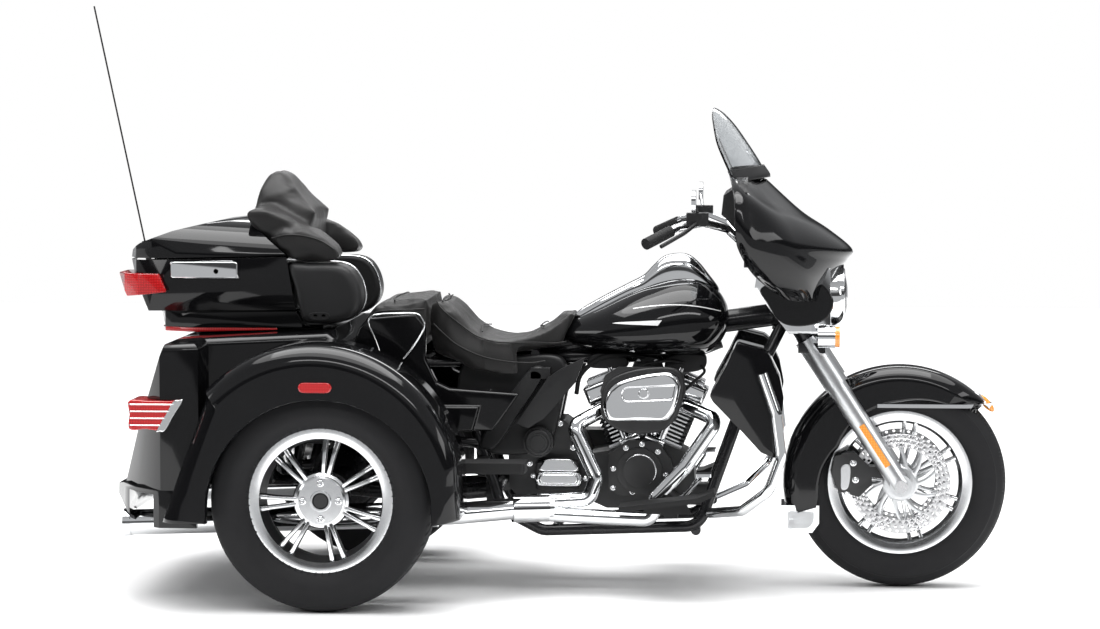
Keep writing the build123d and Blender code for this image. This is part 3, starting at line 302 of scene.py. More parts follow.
def smoothRows(rows, count):
    # uniform Catmull-Rom through the rows, count new rows evenly spaced in the row number
    rows = np.asarray(rows, float)
    t = np.linspace(0, len(rows) - 1, count)
    i = np.minimum(t.astype(int), len(rows) - 2)
    f = (t - i)[:, None]
    wide = np.vstack([2 * rows[0] - rows[1], rows, 2 * rows[-1] - rows[-2]])
    a, b, c, d = wide[i], wide[i + 1], wide[i + 2], wide[i + 3]
    return 0.5 * (2 * b + (c - a) * f + (2 * a - 5 * b + 4 * c - d) * f**2 + (3 * b - a - 3 * c + d) * f**3)


def ring(count):
    # evenly spaced angles of one full turn
    return np.linspace(0, 2 * pi, count, endpoint=False)


def circle(x, z, radius, count, turn=0.0):
    return [(x + radius * np.cos(a), z + radius * np.sin(a)) for a in ring(count) + turn]


def bent(wave, power):
    # a sine or cosine pushed towards a square wave
    return np.sign(wave) * np.abs(wave) ** power


def putMesh(name, points, quads):
    mesh = bpy.data.meshes.new(name)
    mesh.vertices.add(len(points))
    mesh.vertices.foreach_set("co", np.asarray(points, np.float32).ravel())
    mesh.loops.add(quads.size)
    mesh.loops.foreach_set("vertex_index", quads.astype(np.int32).ravel())
    mesh.polygons.add(len(quads))
    mesh.polygons.foreach_set("loop_start", np.arange(0, quads.size, quads.shape[1], dtype=np.int32))
    mesh.update(calc_edges=True)
    return mesh


def putObject(name, data):
    obj = bpy.data.objects.new(name, data)
    bpy.context.scene.collection.objects.link(obj)
    return obj


def shadeSmooth(mesh):
    mesh.polygons.foreach_set("use_smooth", np.ones(len(mesh.polygons), bool))


def gridQuads(rows, columns, loopRows=False, loopColumns=False):
    i = np.arange(rows if loopRows else rows - 1)[:, None]
    j = np.arange(columns if loopColumns else columns - 1)[None, :]
    i2, j2 = (i + 1) % rows, (j + 1) % columns
    corners = np.broadcast_arrays(i * columns + j, i2 * columns + j, i2 * columns + j2, i * columns + j2)
    return np.stack(corners, -1).reshape(-1, 4)


def surface(name, grid, loopRows=False, loopColumns=False):
    # grid[i, j] is a point, or grid[k, i, j] for k copies; neighbours share a face
    grids = grid[None] if grid.ndim == 3 else grid
    quads = gridQuads(grids.shape[1], grids.shape[2], loopRows, loopColumns)
    shift = np.arange(len(grids))[:, None, None] * grids.shape[1] * grids.shape[2]
    return putMesh(name, grids.reshape(-1, 3), (quads[None] + shift).reshape(-1, 4))


def closed(grid):
    # every row drawn to a pole at both ends of the first direction
    first = np.broadcast_to(grid[:1].mean(1, keepdims=True), grid[:1].shape)
    last = np.broadcast_to(grid[-1:].mean(1, keepdims=True), grid[-1:].shape)
    return np.concatenate([first, grid, last], 0)


def piece(mesh, body, slotName, finish=None, stands=(), sharp=40, wall=0.0, merge=1e-5):
    work = bmesh.new()
    work.from_mesh(mesh)
    bmesh.ops.remove_doubles(work, verts=work.verts, dist=merge)
    bmesh.ops.dissolve_degenerate(work, edges=work.edges, dist=merge)
    bmesh.ops.recalc_face_normals(work, faces=work.faces)
    work.to_mesh(mesh)
    work.free()
    shadeSmooth(mesh)
    mesh.set_sharp_from_angle(angle=radians(sharp))
    obj = putObject(mesh.name, mesh)
    mesh.materials.append((finish or finishes[slotName]).material)
    if wall:
        thick = obj.modifiers.new("wall", "SOLIDIFY")
        thick.thickness, thick.offset, thick.use_even_offset = wall, -1, True
    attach(obj, body)
    if stands:
        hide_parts(*stands)
    return obj


def rounded(node, width, sharp=30, finish=None, segments=3):
    # a copy of the CAD piece with its flat faces joined and its edges rolled
    work = bmesh.new()
    work.from_mesh(nodes[node].data)
    bmesh.ops.remove_doubles(work, verts=work.verts, dist=2e-5)
    bmesh.ops.dissolve_limit(work, angle_limit=radians(0.6), verts=work.verts, edges=work.edges)
    mesh = bpy.data.meshes.new(node + "_form")
    work.to_mesh(mesh)
    work.free()
    shadeSmooth(mesh)
    obj = putObject(mesh.name, mesh)
    mesh.materials.append((finish or finishes[slotOf[node]]).material)
    soft = obj.modifiers.new("bevel", "BEVEL")
    soft.width, soft.segments, soft.limit_method, soft.angle_limit = width, segments, "ANGLE", radians(sharp)
    soft.harden_normals = True
    soft.use_clamp_overlap = True
    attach(obj, nodes[node]["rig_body"])
    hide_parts(node)
    return obj


def sections(rows, count, around, power=(2.4, 2.4)):
    # superellipse sections along X: y = w c^(2/n), z = wide + (top or bottom - wide) s^(2/n)
    rows = [list(r) + list(power)[len(r) - 5:] for r in rows]
    x, top, low, wide, half, up, down = smoothRows(rows, count).T[:, :, None]
    a = ring(around)[None]
    c, s = np.cos(a), np.sin(a)
    n = np.where(s > 0, up, down)
    y = half * bent(c, 2 / n)
    z = wide + np.where(s > 0, top - wide, wide - low) * bent(s, 2 / n)
    return np.stack([x + 0 * y, y, z], -1)


def pipeGrid(path, radius, count=60, around=16, across=(0, 1, 0)):
    # circle carried along a smooth path: p + r (cos a u + sin a v), with u across and v upright on the path
    line = smoothRows(path, count)
    tangent = np.gradient(line, axis=0)
    tangent /= np.linalg.norm(tangent, axis=1, keepdims=True)
    v = np.cross(tangent, across)
    v /= np.linalg.norm(v, axis=1, keepdims=True)
    u = np.cross(v, tangent)
    a = ring(around)[None, :, None]
    r = np.broadcast_to(np.asarray(radius, float).reshape(-1, 1, 1), (count, 1, 1))
    return line[:, None] + r * (np.cos(a) * u[:, None] + np.sin(a) * v[:, None])


def turnedGrid(profile, centre, steps):
    # profile rows (radius, y) turned about a cross axis through centre: x = r cos a, z = r sin a
    profile = np.asarray(profile, float) / 1000
    a = ring(steps)[:, None]
    r, y = profile[:, 0][None], profile[:, 1][None]
    return np.stack([r * np.cos(a), y + 0 * a, r * np.sin(a)], -1) + centre


# tyres: carcass turned about the axle, tread cut as grooves
tyreForm = {
    "front": {"radius": 319, "half": 65, "flange": 217, "crown": 0.40, "blocks": 54, "slant": 26,
        "groove": 3.2, "grooveShare": 0.16, "tread": 0.62},
    "rear": {"radius": 323.5, "half": 102.5, "flange": 209, "crown": 0.12, "blocks": 66, "slant": 14,
        "groove": 5.0, "grooveShare": 0.13, "tread": 0.78},
}


def tyreGrid(form, centre, steps=560, columns=58):
    # across: a carcass outline from bead to bead; round: the radius drops inside the tread pattern
    r, w, f = form["radius"] - 0.6, form["half"] - 0.6, form["flange"]
    h = r - f
    k = form["crown"]
    side = [(f + 1, 0.74 * w), (f + 0.10 * h, 0.86 * w), (f + 0.28 * h, 0.975 * w), (f + 0.46 * h, w),
        (f + 0.66 * h, 0.955 * w), (r - h * k * 0.62 - 0.04 * h, 0.87 * w), (r - h * k * 0.30, 0.66 * w),
        (r - h * k * 0.08, 0.36 * w), (r, 0)]
    outline = smoothRows(side, columns // 2)
    outline = np.vstack([outline, (outline[:-1] * (1, -1))[::-1]])
    a = ring(steps)[:, None]
    radius, y = outline[:, 0][None], outline[:, 1][None]
    across = np.abs(y) / w
    turn = (a * form["blocks"] / (2 * pi) + across * form["slant"] / 8 + 0.5 * (y > 0)) % 1
    cut = (turn < form["grooveShare"]) & (across > 0.10) & (across < form["tread"])
    if form["crown"] < 0.2:
        cut |= (np.abs(across - 0.16) < 0.02) | (np.abs(across - 0.46) < 0.02)
    radius = radius - form["groove"] * cut - 0.5 * (np.abs(across - 0.985) < 0.008)
    radius = radius / 1000
    return np.stack([radius * np.cos(a), y / 1000 + 0 * a, radius * np.sin(a)], -1) + centre


for node, kind, y in (("front_tyre", "front", 0), ("rear_tyre_right", "rear", -wheelY),
                      ("rear_tyre_left", "rear", wheelY)):
    centre = (frontAxle if kind == "front" else rearAxle) + (0, y, 0)
    form = tyreForm[kind]
    grid = tyreGrid(form, centre)
    seat, foot = form["flange"] - 5, 0.74 * form["half"] - 8
    back = turnedGrid([(seat, foot), (seat, -foot)], centre, 560)
    grid = np.concatenate([back[:, :1], grid, back[:, 1:]], 1)
    piece(surface(node + "_tread", grid, True, True), nodes[node]["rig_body"], "tyre", stands=(node,),
        sharp=24)
print("tyres made")

# cast wheels: turned barrel with a polished lip, paired spokes, hub cap
wheelForm = {
    "front": {"flange": 217, "half": 46, "hub": 46, "pairs": 7, "split": 11, "wide": 12, "deep": 26,
        "cap": 52},
    "rear": {"flange": 209, "half": 76, "hub": 62, "pairs": 7, "split": 11.5, "wide": 14.5, "deep": 30,
        "cap": 73},
}


def spokeGrid(form, centre, facing, plane):
    # one bar from hub to barrel, its width waisted and its face crowned, copied round the hub in pairs
    t = np.linspace(0, 1, 22)[:, None]
    a = ring(20)[None]
    start = form["hub"] - 12
    out = start + (form["flange"] - 26 - start) * t
    half = form["wide"] / 2 * (1.05 - 0.14 * np.sin(pi * t) ** 0.8 + 0.25 * t**6)
    deep = form["deep"] / 2 * (1 + 0.10 * t)
    c, s = np.cos(a), np.sin(a)
    across = half * bent(c, 0.45)
    depth = deep * bent(s, 0.45) + 7 * np.sin(pi * t)
    turn = np.arange(form["pairs"]) * 360 / form["pairs"] + 80
    turn = np.radians(np.stack([turn - form["split"] / 2, turn + form["split"] / 2], 1).ravel())[:, None,
        None]
    x = out * np.cos(turn) - across * np.sin(turn)
    z = out * np.sin(turn) + across * np.cos(turn)
    y = facing * (depth + plane) + 0 * x
    return np.stack([x, y, z], -1) / 1000 + centre


for node, kind, y in (("front_rim", "front", 0), ("rear_rim_right", "rear", -wheelY),
        ("rear_rim_left", "rear", wheelY)):
    form = wheelForm[kind]
    centre = (frontAxle if kind == "front" else rearAxle) + (0, y, 0)
    facing = -1 if y < 0 else 1
    f, h, cap = form["flange"], form["half"], form["cap"]
    lip = [(f - 1, h - 1), (f, h - 4), (f - 1, h - 8), (f - 16, h - 11)]
    well = [(f - 34, h * 0.2), (f - 34, -h * 0.2)]
    inside = [(f - 30, h - 4), (f - 27, h - 7), (f - 26, h - 22), (f - 40, h * 0.15)]
    outer = lip + well + [(r, -w) for r, w in lip[::-1]]
    inner = inside + [(r, -w) for r, w in inside[::-1]]
    barrel = outer + [(f - 12, 1 - h), (f - 24, 3 - h)] + inner[::-1] + [(f - 24, h - 3), (f - 12, h - 1)]
    body = nodes[node]["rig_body"]
    rimGrid = turnedGrid(barrel, centre, 180)
    piece(surface(node + "_barrel", rimGrid, True, True), body, "cast_wheel", stands=(node,), sharp=28)
    plane = 0 if kind == "front" else h - 30
    piece(surface(node + "_spokes", spokeGrid(form, centre, facing, plane), False, True), body,
        "cast_wheel", sharp=32)
    if kind == "front":
        hub = [(14, 58), (44, 58), (46, 55), (46, 22), (cap, 15)]
        hub += [(r, -w) for r, w in hub[::-1]]
    else:
        d = form["deep"] / 2 + plane
        hub = [(0, d + 14), (23, d + 14), (24, d + 20), (29, d + 20), (31, d + 15), (cap - 8, d + 15),
               (cap - 3, d + 12), (cap - 2, d + 4), (cap + 6, d + 1), (cap + 10, d - 6),
               (cap + 4, plane - form["deep"] / 2), (cap - 8, -h), (cap - 8, -64), (0, -64)]
    hubGrid = turnedGrid([(r, facing * w) for r, w in hub], centre, 96)
    piece(surface(node + "_hub", hubGrid, True, kind == "front"), body, "cast_wheel", sharp=30)
print("wheels made")

# tank: one smooth drop, widest low in front, under a chrome console
tankRows = [  # x from the front axle, top, low, height of the widest line, half width, squareness up, down
    (-1020, 772, 752, 762, 30, 2.0, 2.0), (-1008, 790, 742, 762, 62, 2.0, 2.0),
        (-975, 812, 722, 760, 92, 2.0, 2.2),
    (-900, 848, 711, 764, 134, 2.0, 2.4), (-830, 884, 705, 772, 160, 2.0, 2.5),
        (-760, 913, 702, 780, 176, 2.0, 2.6),
    (-690, 932, 701, 790, 184, 2.1, 2.6), (-630, 934, 701, 796, 183, 2.2, 2.6),
        (-580, 918, 706, 800, 172, 2.2, 2.4),
    (-546, 888, 730, 804, 150, 2.2, 2.2), (-526, 856, 762, 806, 120, 2.1, 2.1),
        (-517, 828, 786, 806, 70, 2.0, 2.0),
]
tankShell = closed(fromFront(sections(tankRows, 90, 96)))
piece(surface("tank_shell", tankShell, False, True), "chassis", "body_paint", stands=("fuel_tank",),
    sharp=60)

stripe = {"lift": 0.7, "from": -862, "to": -724}


def tankSide(x, z, side):
    # half width of the tank at x and height z, from the same rows as the shell
    rows = smoothRows(tankRows, 400)
    top, low, wide, half, up, down = (np.interp(x, rows[:, 0], rows[:, i]) for i in range(1, 7))
    reach = np.where(z > wide, (z - wide) / (top - wide), (wide - z) / (wide - low))
    n = np.where(z > wide, up, down)
    return side * half * np.clip(1 - np.abs(reach) ** n, 0, 1) ** (1 / n)


whiteStripe = Finish("stripeWhite", Base_Color=(0.80, 0.80, 0.80, 1), Coat_Weight=0.8, Coat_Roughness=0.03)
whiteStripe.feed(Roughness=whiteStripe.span(whiteStripe.noise(60.0), 0.2, 0.3))


def tankStrip(name, side, x, z):
    # a thin white sheet laid on the tank's side
    x, z = x + 0 * z, z + 0 * x
    grid = fromFront(np.stack([x, tankSide(x, z, side) + side * stripe["lift"], z], -1))
    piece(surface(name, grid), "chassis", "body_paint", whiteStripe, sharp=80)


for word, side in sides:
    t = np.linspace(0, 1, 60)[:, None]
    v = np.linspace(0, 1, 8)[None]
    x = stripe["from"] + (stripe["to"] - stripe["from"]) * t + 12 * v
    tankStrip("tank_stripe_" + word, side, x, 804 + 2 * t - 1.2 * (1 - t) + (v - 0.5) * (3 + 13 * t ** 0.8))
    # narrow line over the top front of the tank
    t = np.linspace(0, 1, 80)[:, None]
    v = np.linspace(-1, 1, 4)[None]
    z = 836 + 26 * np.sin(pi * (0.12 + 0.62 * t)) - 16 * t ** 3 + v * 1.3
    tankStrip("tank_line_" + word, side, -800 + 262 * t + 0 * v, z)

consoleRows = [
    (-984, 812, 790, 802, 22), (-968, 832, 786, 806, 40), (-900, 872, 820, 846, 48),
        (-820, 914, 862, 888, 52),
    (-775, 938, 880, 905, 54), (-745, 968, 890, 920, 55), (-715, 994, 895, 932, 55),
        (-680, 1004, 895, 940, 55),
    (-640, 1001, 895, 938, 54), (-606, 976, 890, 925, 50), (-575, 938, 880, 905, 44),
        (-552, 908, 870, 888, 34),
    (-545, 894, 878, 886, 14),
]
consoleShell = closed(fromFront(sections(consoleRows, 80, 64, (3.0, 3.0))))
piece(surface("console_shell", consoleShell, False, True), "chassis", "chrome", stands=("tank_console",),
    sharp=60)
print("tank made")

# rear fenders: a rolled crown over the wheel that drops to a lip
fenderForm = {"centre": (-20, 350), "reach": 424, "inside": 430.5, "outside": 694, "roll": 62, "lip": 327,
    "lipHeight": 293.5, "foot": 262, "ends": (-458, 403)}


def crownGrid(form, side, rows=96):
    # round: rear foot, crown, front foot; across: inner edge, rolled shoulder, outer face, wheel lip
    cx, cz = form["centre"]
    lipZ, lipR, foot = form["lipHeight"], form["lip"], form["foot"]
    rearX, frontX = form["ends"]
    a = np.radians(np.linspace(168, 12, rows))
    crownX, crownZ = cx + form["reach"] * np.cos(a), cz + form["reach"] * np.sin(a)
    # the rear edge is a straight line leaning forward, as on the body behind it
    lineX = -460 + (crownZ - 262) * (142 / 378)
    crownX = np.maximum(crownX, np.where(crownZ < 640, lineX, crownX))
    leg = np.linspace(0, 1, 14)[:-1]
    x0, z0, x1, z1 = crownX[0], crownZ[0], crownX[-1], crownZ[-1]
    outX = np.concatenate([rearX + (x0 - rearX) * leg, crownX, x1 + (frontX - x1) * leg[1:]])
    outZ = np.concatenate([foot + (z0 - foot) * leg, crownZ, z1 + (foot - z1) * leg[1:]])
    b = np.linspace(pi + 0.10, -0.10, len(outX))
    low = np.concatenate([np.linspace(0, 1, 16), np.ones(len(outX) - 32), np.linspace(1, 0, 16)])
    inX, inZ = lipR * np.cos(b), np.where(np.sin(b) > 0, lipZ + lipR * np.sin(b), lipZ)
    inZ = inZ + (foot - inZ) * (1 - low) * (inZ < 330)
    o, i = np.stack([outX, outZ], -1), np.stack([inX, inZ], -1)
    toward = i - o
    span = np.linalg.norm(toward, axis=1, keepdims=True)
    toward /= span
    q = np.linspace(0, pi / 2, 12)
    r = form["roll"]
    y = np.concatenate([[form["inside"], form["inside"] + 100], form["outside"] - r + r * np.sin(q),
        [form["outside"]] * 3, [form["outside"] - 3, form["outside"] - 12, form["outside"] - 30]])
    drop = np.concatenate([[0, 0], r * (1 - np.cos(q)), [r + 20, r + 60, -1], [-1, -1, -1]])
    share = np.where(drop[None] < 0, span, np.minimum(np.abs(drop[None]), span - 8))
    fold = np.concatenate([np.zeros(len(y) - 3), [2.5, 4, 4]])
    point = o[:, None] + toward[:, None] * (share + np.where(drop[None] < 0, fold[None], 0))[..., None]
    return fromRear(np.stack([point[..., 0], side * y[None] + 0 * share, point[..., 1]], -1))


for word, side in sides:
    grid = crownGrid(fenderForm, side)[::side]
    piece(surface("fender_skin_" + word, grid), "chassis", "body_plastic",
          stands=("rear_fenders",) if side < 0 else (), sharp=35, wall=0.004)
print("rear fenders made")

# front fender: a deep skirted arc about the axle
def frontFenderGrid(centre, radius=351.5, half=79.5, rows=110, columns=41):
    # round: angle from the rear foot to the nose; across: skirt, crown, skirt
    a = np.radians(np.linspace(196.5, 44, rows))[:, None]
    v = np.linspace(-1, 1, columns)[None]
    turn = np.degrees(a)
    foot = np.interp(turn, [44, 48, 60, 90, 110, 130, 150, 170, 190, 197],
                     [336, 300, 276, 246, 238, 228, 214, 236, 250, 262])
    s = np.abs(v)
    y = half * np.sign(v) * np.minimum(s / 0.56, 1) ** 0.9
    nose = np.clip((62 - turn) / 18, 0, 1)
    y = y * (1 - 0.5 * nose ** 2)
    crown = radius - 58 * np.minimum(s / 0.56, 1) ** 4.2 * 0.62
    r = np.where(s < 0.56, crown, (radius - 36) + (foot - radius + 36) * ((s - 0.56) / 0.44))
    r = np.minimum(r, radius)
    return np.stack([r * np.cos(a), y + 0 * r, r * np.sin(a)], -1) / 1000 + centre


piece(surface("front_fender_skin", frontFenderGrid(frontAxle)), "fork", "body_paint",
    stands=("front_fender",), sharp=50, wall=0.003)
print("front fender made")

# plain bodywork keeps its CAD form with rolled edges
rolledEdges = {
    "trunk_body": 0.008, "trunk_door": 0.0025, "luggage_box": 0.006, "luggage_lid": 0.012,
        "rear_valance": 0.006,
    "side_panels": 0.006, "side_covers": 0.006, "lower_fairings": 0.010, "engine_case": 0.004,
        "rocker_covers": 0.003,
    "latch_plate": 0.004, "lamp_nacelle": 0.004, "luggage_rack": 0.005, "footboards": 0.003,
        "dash_panel": 0.006,
    "air_cleaner_backplate": 0.003, "fork_clamps": 0.004, "front_calipers": 0.003, "luggage_lamps": 0.004,
    "hand_controls": 0.003,
}
for node, width in rolledEdges.items():
    rounded(node, width)
rounded("engine_covers", 0.004, finish=finishes["engine_black"])
print("bodywork rounded")

# fork fairing: a batwing shell, each row a curve from the rear edge round the nose to the other rear edge
fairRows = [  # share of the height; x, y, z of the rear edge, the widest place and the shoulder; nose x, z
    (0.00, -352, 232, 884, -318, 226, 876, -262, 176, 872, -236, 870),
    (0.10, -392, 262, 912, -338, 254, 896, -262, 190, 886, -228, 884),
    (0.22, -446, 318, 965, -378, 312, 935, -270, 222, 915, -212, 912),
    (0.36, -484, 372, 1035, -420, 370, 1000, -282, 262, 962, -186, 955),
    (0.48, -492, 393, 1085, -436, 390, 1058, -300, 286, 1010, -160, 988),
    (0.60, -493, 396, 1130, -446, 384, 1118, -318, 296, 1062, -147, 1020),
    (0.74, -494, 384, 1172, -452, 360, 1172, -352, 262, 1122, -216, 1078),
    (0.87, -500, 344, 1208, -468, 308, 1208, -400, 212, 1172, -300, 1134),
    (1.00, -511, 226, 1247, -494, 198, 1247, -450, 130, 1240, -404, 1228),
]


def fairingGrid(rows, high=72, wide=121):
    # rows are smoothed upwards, then each is a smooth curve through its seven places
    table = smoothRows(rows, high)
    rear, side, shoulder = table[:, 1:4], table[:, 4:7], table[:, 7:10]
    nose = np.stack([table[:, 10], 0 * table[:, 10], table[:, 11]], -1)
    flipY = np.array([1, -1, 1])
    knots = np.stack([rear, side, shoulder, nose, shoulder * flipY, side * flipY, rear * flipY], 0)
    return smoothRows(knots.reshape(7, -1), wide).reshape(wide, high, 3)


piece(surface("fairing_skin", fromFront(fairingGrid(fairRows))), "fork", "body_plastic",
    stands=("fairing_shell",), sharp=70, wall=0.004)


def screenGrid(rows, count, ahead=0, droop=0):
    # rows: height, half width, x of the edge and of the middle; the sheet curves back to its edges
    v = np.abs(np.linspace(-1, 1, 61))[None]
    z, half, edgeX, midX = smoothRows(rows, count).T[:, :, None]
    x = midX + ahead + (edgeX - midX) * v ** 2.0
    return fromFront(np.stack([x, half * np.linspace(-1, 1, 61)[None], z - droop * v ** 3], -1))


# windshield: part of a leaning cylinder with a rounded top, on a dark base
screenRows = [(1246, 226, -508, -405), (1290, 222, -528, -430), (1340, 196, -549, -463),
    (1388, 152, -560, -497), (1422, 96, -566, -528), (1438, 46, -566, -550), (1443, 6, -564, -562)]
piece(surface("windshield_sheet", screenGrid(screenRows, 40)), "fork", "clear_screen",
    stands=("windshield",), sharp=80, wall=0.0035)
baseRows = [(1236, 232, -506, -398), (1247, 228, -508, -400), (1262, 224, -515, -410),
    (1272, 220, -520, -417)]
piece(surface("screen_base", screenGrid(baseRows, 14, 5, 12)), "fork", "dark_plastic", sharp=80, wall=0.006)
print("fairing made")

# headlamp: chrome shell with a stepped bezel, reflector and clear lens
headlamp = {"x": -0.2, "z": 0.878}
lampCentre = np.array([frontAxle[0] + headlamp["x"], 0, headlamp["z"]])


def facingGrid(profile, centre, steps=96):
    # profile rows (radius, x) turned about a line that runs forward through centre
    profile = np.asarray(profile, float) / 1000
    a = ring(steps)[:, None]
    r, x = profile[:, 0][None], profile[:, 1][None]
    return np.stack([x + 0 * a, r * np.cos(a), r * np.sin(a)], -1) + centre


bezel = [(92, -60), (96, -20), (96, 6), (93, 16), (88, 24), (83, 30), (79.5, 32), (77, 30), (77, 22)]
piece(surface("headlamp_bezel", facingGrid(bezel, lampCentre), True), "fork", "chrome", sharp=30)
bowl = [(0, -34), (14, -33), (34, -28), (54, -16), (70, 4), (78, 22)]
piece(surface("headlamp_bowl", facingGrid(bowl, lampCentre), True), "fork", "chrome", sharp=30)
glass = [(0, 41), (26, 40), (50, 36), (68, 31), (77, 27), (77, 24), (60, 27), (30, 33), (0, 35)]
piece(surface("headlamp_glass", facingGrid(glass, lampCentre), True), "fork", "lamp_glass",
    stands=("headlamp_lens",), sharp=50)
for name, y, z, r in (("upper", 0, 34, 24), ("lower", 0, -34, 24), ("left", 46, 0, 20),
        ("right", -46, 0, 20)):
    barrel = [(0, 4), (r * 0.6, 10), (r * 0.85, 6), (r, -6), (r, -24), (0, -26)]
    grid = facingGrid(barrel, lampCentre + np.array([0, y, z]) / 1000, 40)
    piece(surface("headlamp_cell_" + name, grid, True), "fork", "lamp_glass", finishes["chrome"], sharp=30)
print("headlamp made")

# front brake discs: drilled rings, each hole in its own patch of the ring
discForm = {"inner": 110, "outer": 150, "bands": 3, "places": 40, "hole": 4.3, "thick": 5, "y": 74}


def drilledRing(form, side):
    # every patch is a fan of quads between a round hole and the patch's own square edge, bent into the ring
    k = 16
    a = ring(k)
    c, s = np.cos(a), np.sin(a)
    square = np.stack([c, s], -1) / np.maximum(np.abs(c), np.abs(s))[:, None]
    step = (form["outer"] - form["inner"]) / form["bands"]
    band = form["inner"] + step * (np.arange(form["bands"]) + 0.5)
    place = np.arange(form["places"])
    turn = 2 * pi * (place[None] + 0.33 * np.arange(form["bands"])[:, None]) / form["places"]
    arc = pi / form["places"]
    r0, t0 = np.broadcast_arrays(band[:, None], turn)
    level = np.linspace(0, 1, 3)[None, None, :, None]
    dr = form["hole"] * c * (1 - level) + step / 2 * square[:, 0] * level
    dt = form["hole"] * s * (1 - level) / r0[..., None, None] + arc * square[:, 1] * level
    r, t = r0[..., None, None] + dr, t0[..., None, None] + dt
    y = np.full_like(r, side * (form["y"] + form["thick"] / 2))
    return np.stack([r * np.cos(t), y, r * np.sin(t)], -1).reshape(-1, 3, k, 3) / 1000 + frontAxle


for name, side in sides:
    plate = drilledRing(discForm, side)
    disc = piece(surface("disc_ring_" + name, plate, False, True), "front_wheel", "steel",
        stands=("front_discs",), sharp=30, wall=0.005, merge=2e-5)
    disc.modifiers["wall"].offset = 0
    # carrier: ten swept arms and a stepped hub
    t = np.linspace(0, 1, 12)[:, None]
    a = ring(12)[None]
    out = 46 + 66 * t
    w = (6 + 3 * (1 - t) ** 2) * bent(np.cos(a), 0.6)
    d = 3.2 * bent(np.sin(a), 0.6)
    turn = ring(10)[:, None, None] + 0.35 * t
    x, z = out * np.cos(turn) - w * np.sin(turn), out * np.sin(turn) + w * np.cos(turn)
    grid = np.stack([x, side * (discForm["y"] - 1 + d) + 0 * x, z], -1) / 1000 + frontAxle
    piece(surface("disc_arms_" + name, grid, False, True), "front_wheel", "steel", finishes["satin_metal"],
        sharp=35)
    hub = [(20, 60), (50, 60), (54, 66), (54, 74), (48, 78), (30, 79), (30, 84), (24, 86), (13, 86)]
    grid = turnedGrid([(r, side * w) for r, w in hub], frontAxle, 72)
    piece(surface("disc_hub_" + name, grid, True), "front_wheel", "steel", finishes["satin_metal"],
        sharp=30)
print("discs made")

# seats and backrest: padded forms swollen from a slightly smaller copy of the CAD solid
padding = {  # node: voxel, inset before swelling, furthest travel, fill
    "rider_seat": (0.008, 0.005, 0.010, 0.8),
    "passenger_seat": (0.008, 0.005, 0.008, 0.8),
    "backrest": (0.008, 0.006, 0.012, 0.7),
}
# blocks that thicken the rider seat's thin skin over the frame tube: middle and size, from the rear axle
thickened = {"rider_seat": [((487, 0, 729), (42, 90, 26)), ((527, 0, 732.5), (42, 90, 28)),
    ((563, 0, 741), (34, 90, 28)), ((595, 0, 757), (34, 90, 28))]}


def meshCoords(mesh):
    flat = np.empty(len(mesh.vertices) * 3, np.float32)
    mesh.vertices.foreach_get("co", flat)
    return flat.reshape(-1, 3).astype(float)


def applied(obj):
    # the object's mesh with its modifiers worked in
    view = bpy.context.evaluated_depsgraph_get()
    made = bpy.data.meshes.new_from_object(obj.evaluated_get(view))
    obj.modifiers.clear()
    obj.data = made
    return obj


def paddedForm(node, voxel, inset, travel, fill):
    work = bmesh.new()
    work.from_mesh(nodes[node].data)
    bmesh.ops.remove_doubles(work, verts=work.verts, dist=2e-5)
    for place, size in thickened.get(node, ()):
        block = Matrix.Translation(fromRear([place])[0]) @ Matrix.Diagonal((*(s / 1000 for s in size), 1))
        bmesh.ops.create_cube(work, size=1, matrix=block)
    mesh = bpy.data.meshes.new(node + "_pad")
    work.to_mesh(mesh)
    work.free()
    obj = putObject(mesh.name, mesh)
    remesh = obj.modifiers.new("remesh", "REMESH")
    remesh.mode, remesh.voxel_size = "VOXEL", voxel
    shrink = obj.modifiers.new("shrink", "DISPLACE")
    shrink.strength, shrink.mid_level = -inset, 0
    calm = obj.modifiers.new("calm", "SMOOTH")
    calm.factor, calm.iterations = 0.5, 14
    applied(obj)
    start = meshCoords(obj.data)
    cloth = obj.modifiers.new("cloth", "CLOTH")
    cloth.settings.quality = 4
    cloth.settings.mass = 0.3
    cloth.settings.use_pressure = True
    cloth.settings.uniform_pressure_force = 4
    cloth.settings.tension_stiffness = cloth.settings.compression_stiffness = 18
    cloth.settings.bending_stiffness = 1.5
    cloth.settings.effector_weights.gravity = 0
    scene = bpy.context.scene
    for step in range(1, 15):
        scene.frame_set(step)
    view = bpy.context.evaluated_depsgraph_get()
    swollen = meshCoords(obj.evaluated_get(view).data)
    scene.frame_set(1)
    obj.modifiers.clear()
    move = swollen - start
    far = np.linalg.norm(move, axis=1, keepdims=True)
    start = start + move * np.minimum(1, travel / np.maximum(far, 1e-9))
    obj.data.vertices.foreach_set("co", start.astype(np.float32).ravel())
    calm = obj.modifiers.new("calm", "SMOOTH")
    calm.factor, calm.iterations = 0.5, 4
    applied(obj)
    obj.data.materials.clear()
    obj.data.materials.append(finishes["seat_cover"].material)
    shadeSmooth(obj.data)
    sub = obj.modifiers.new("subdivision", "SUBSURF")
    sub.levels = sub.render_levels = 1
    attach(obj, nodes[node]["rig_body"])
    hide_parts(node)
    return obj


pads = {node: paddedForm(node, *row) for node, row in padding.items()}
print("padded pieces made")


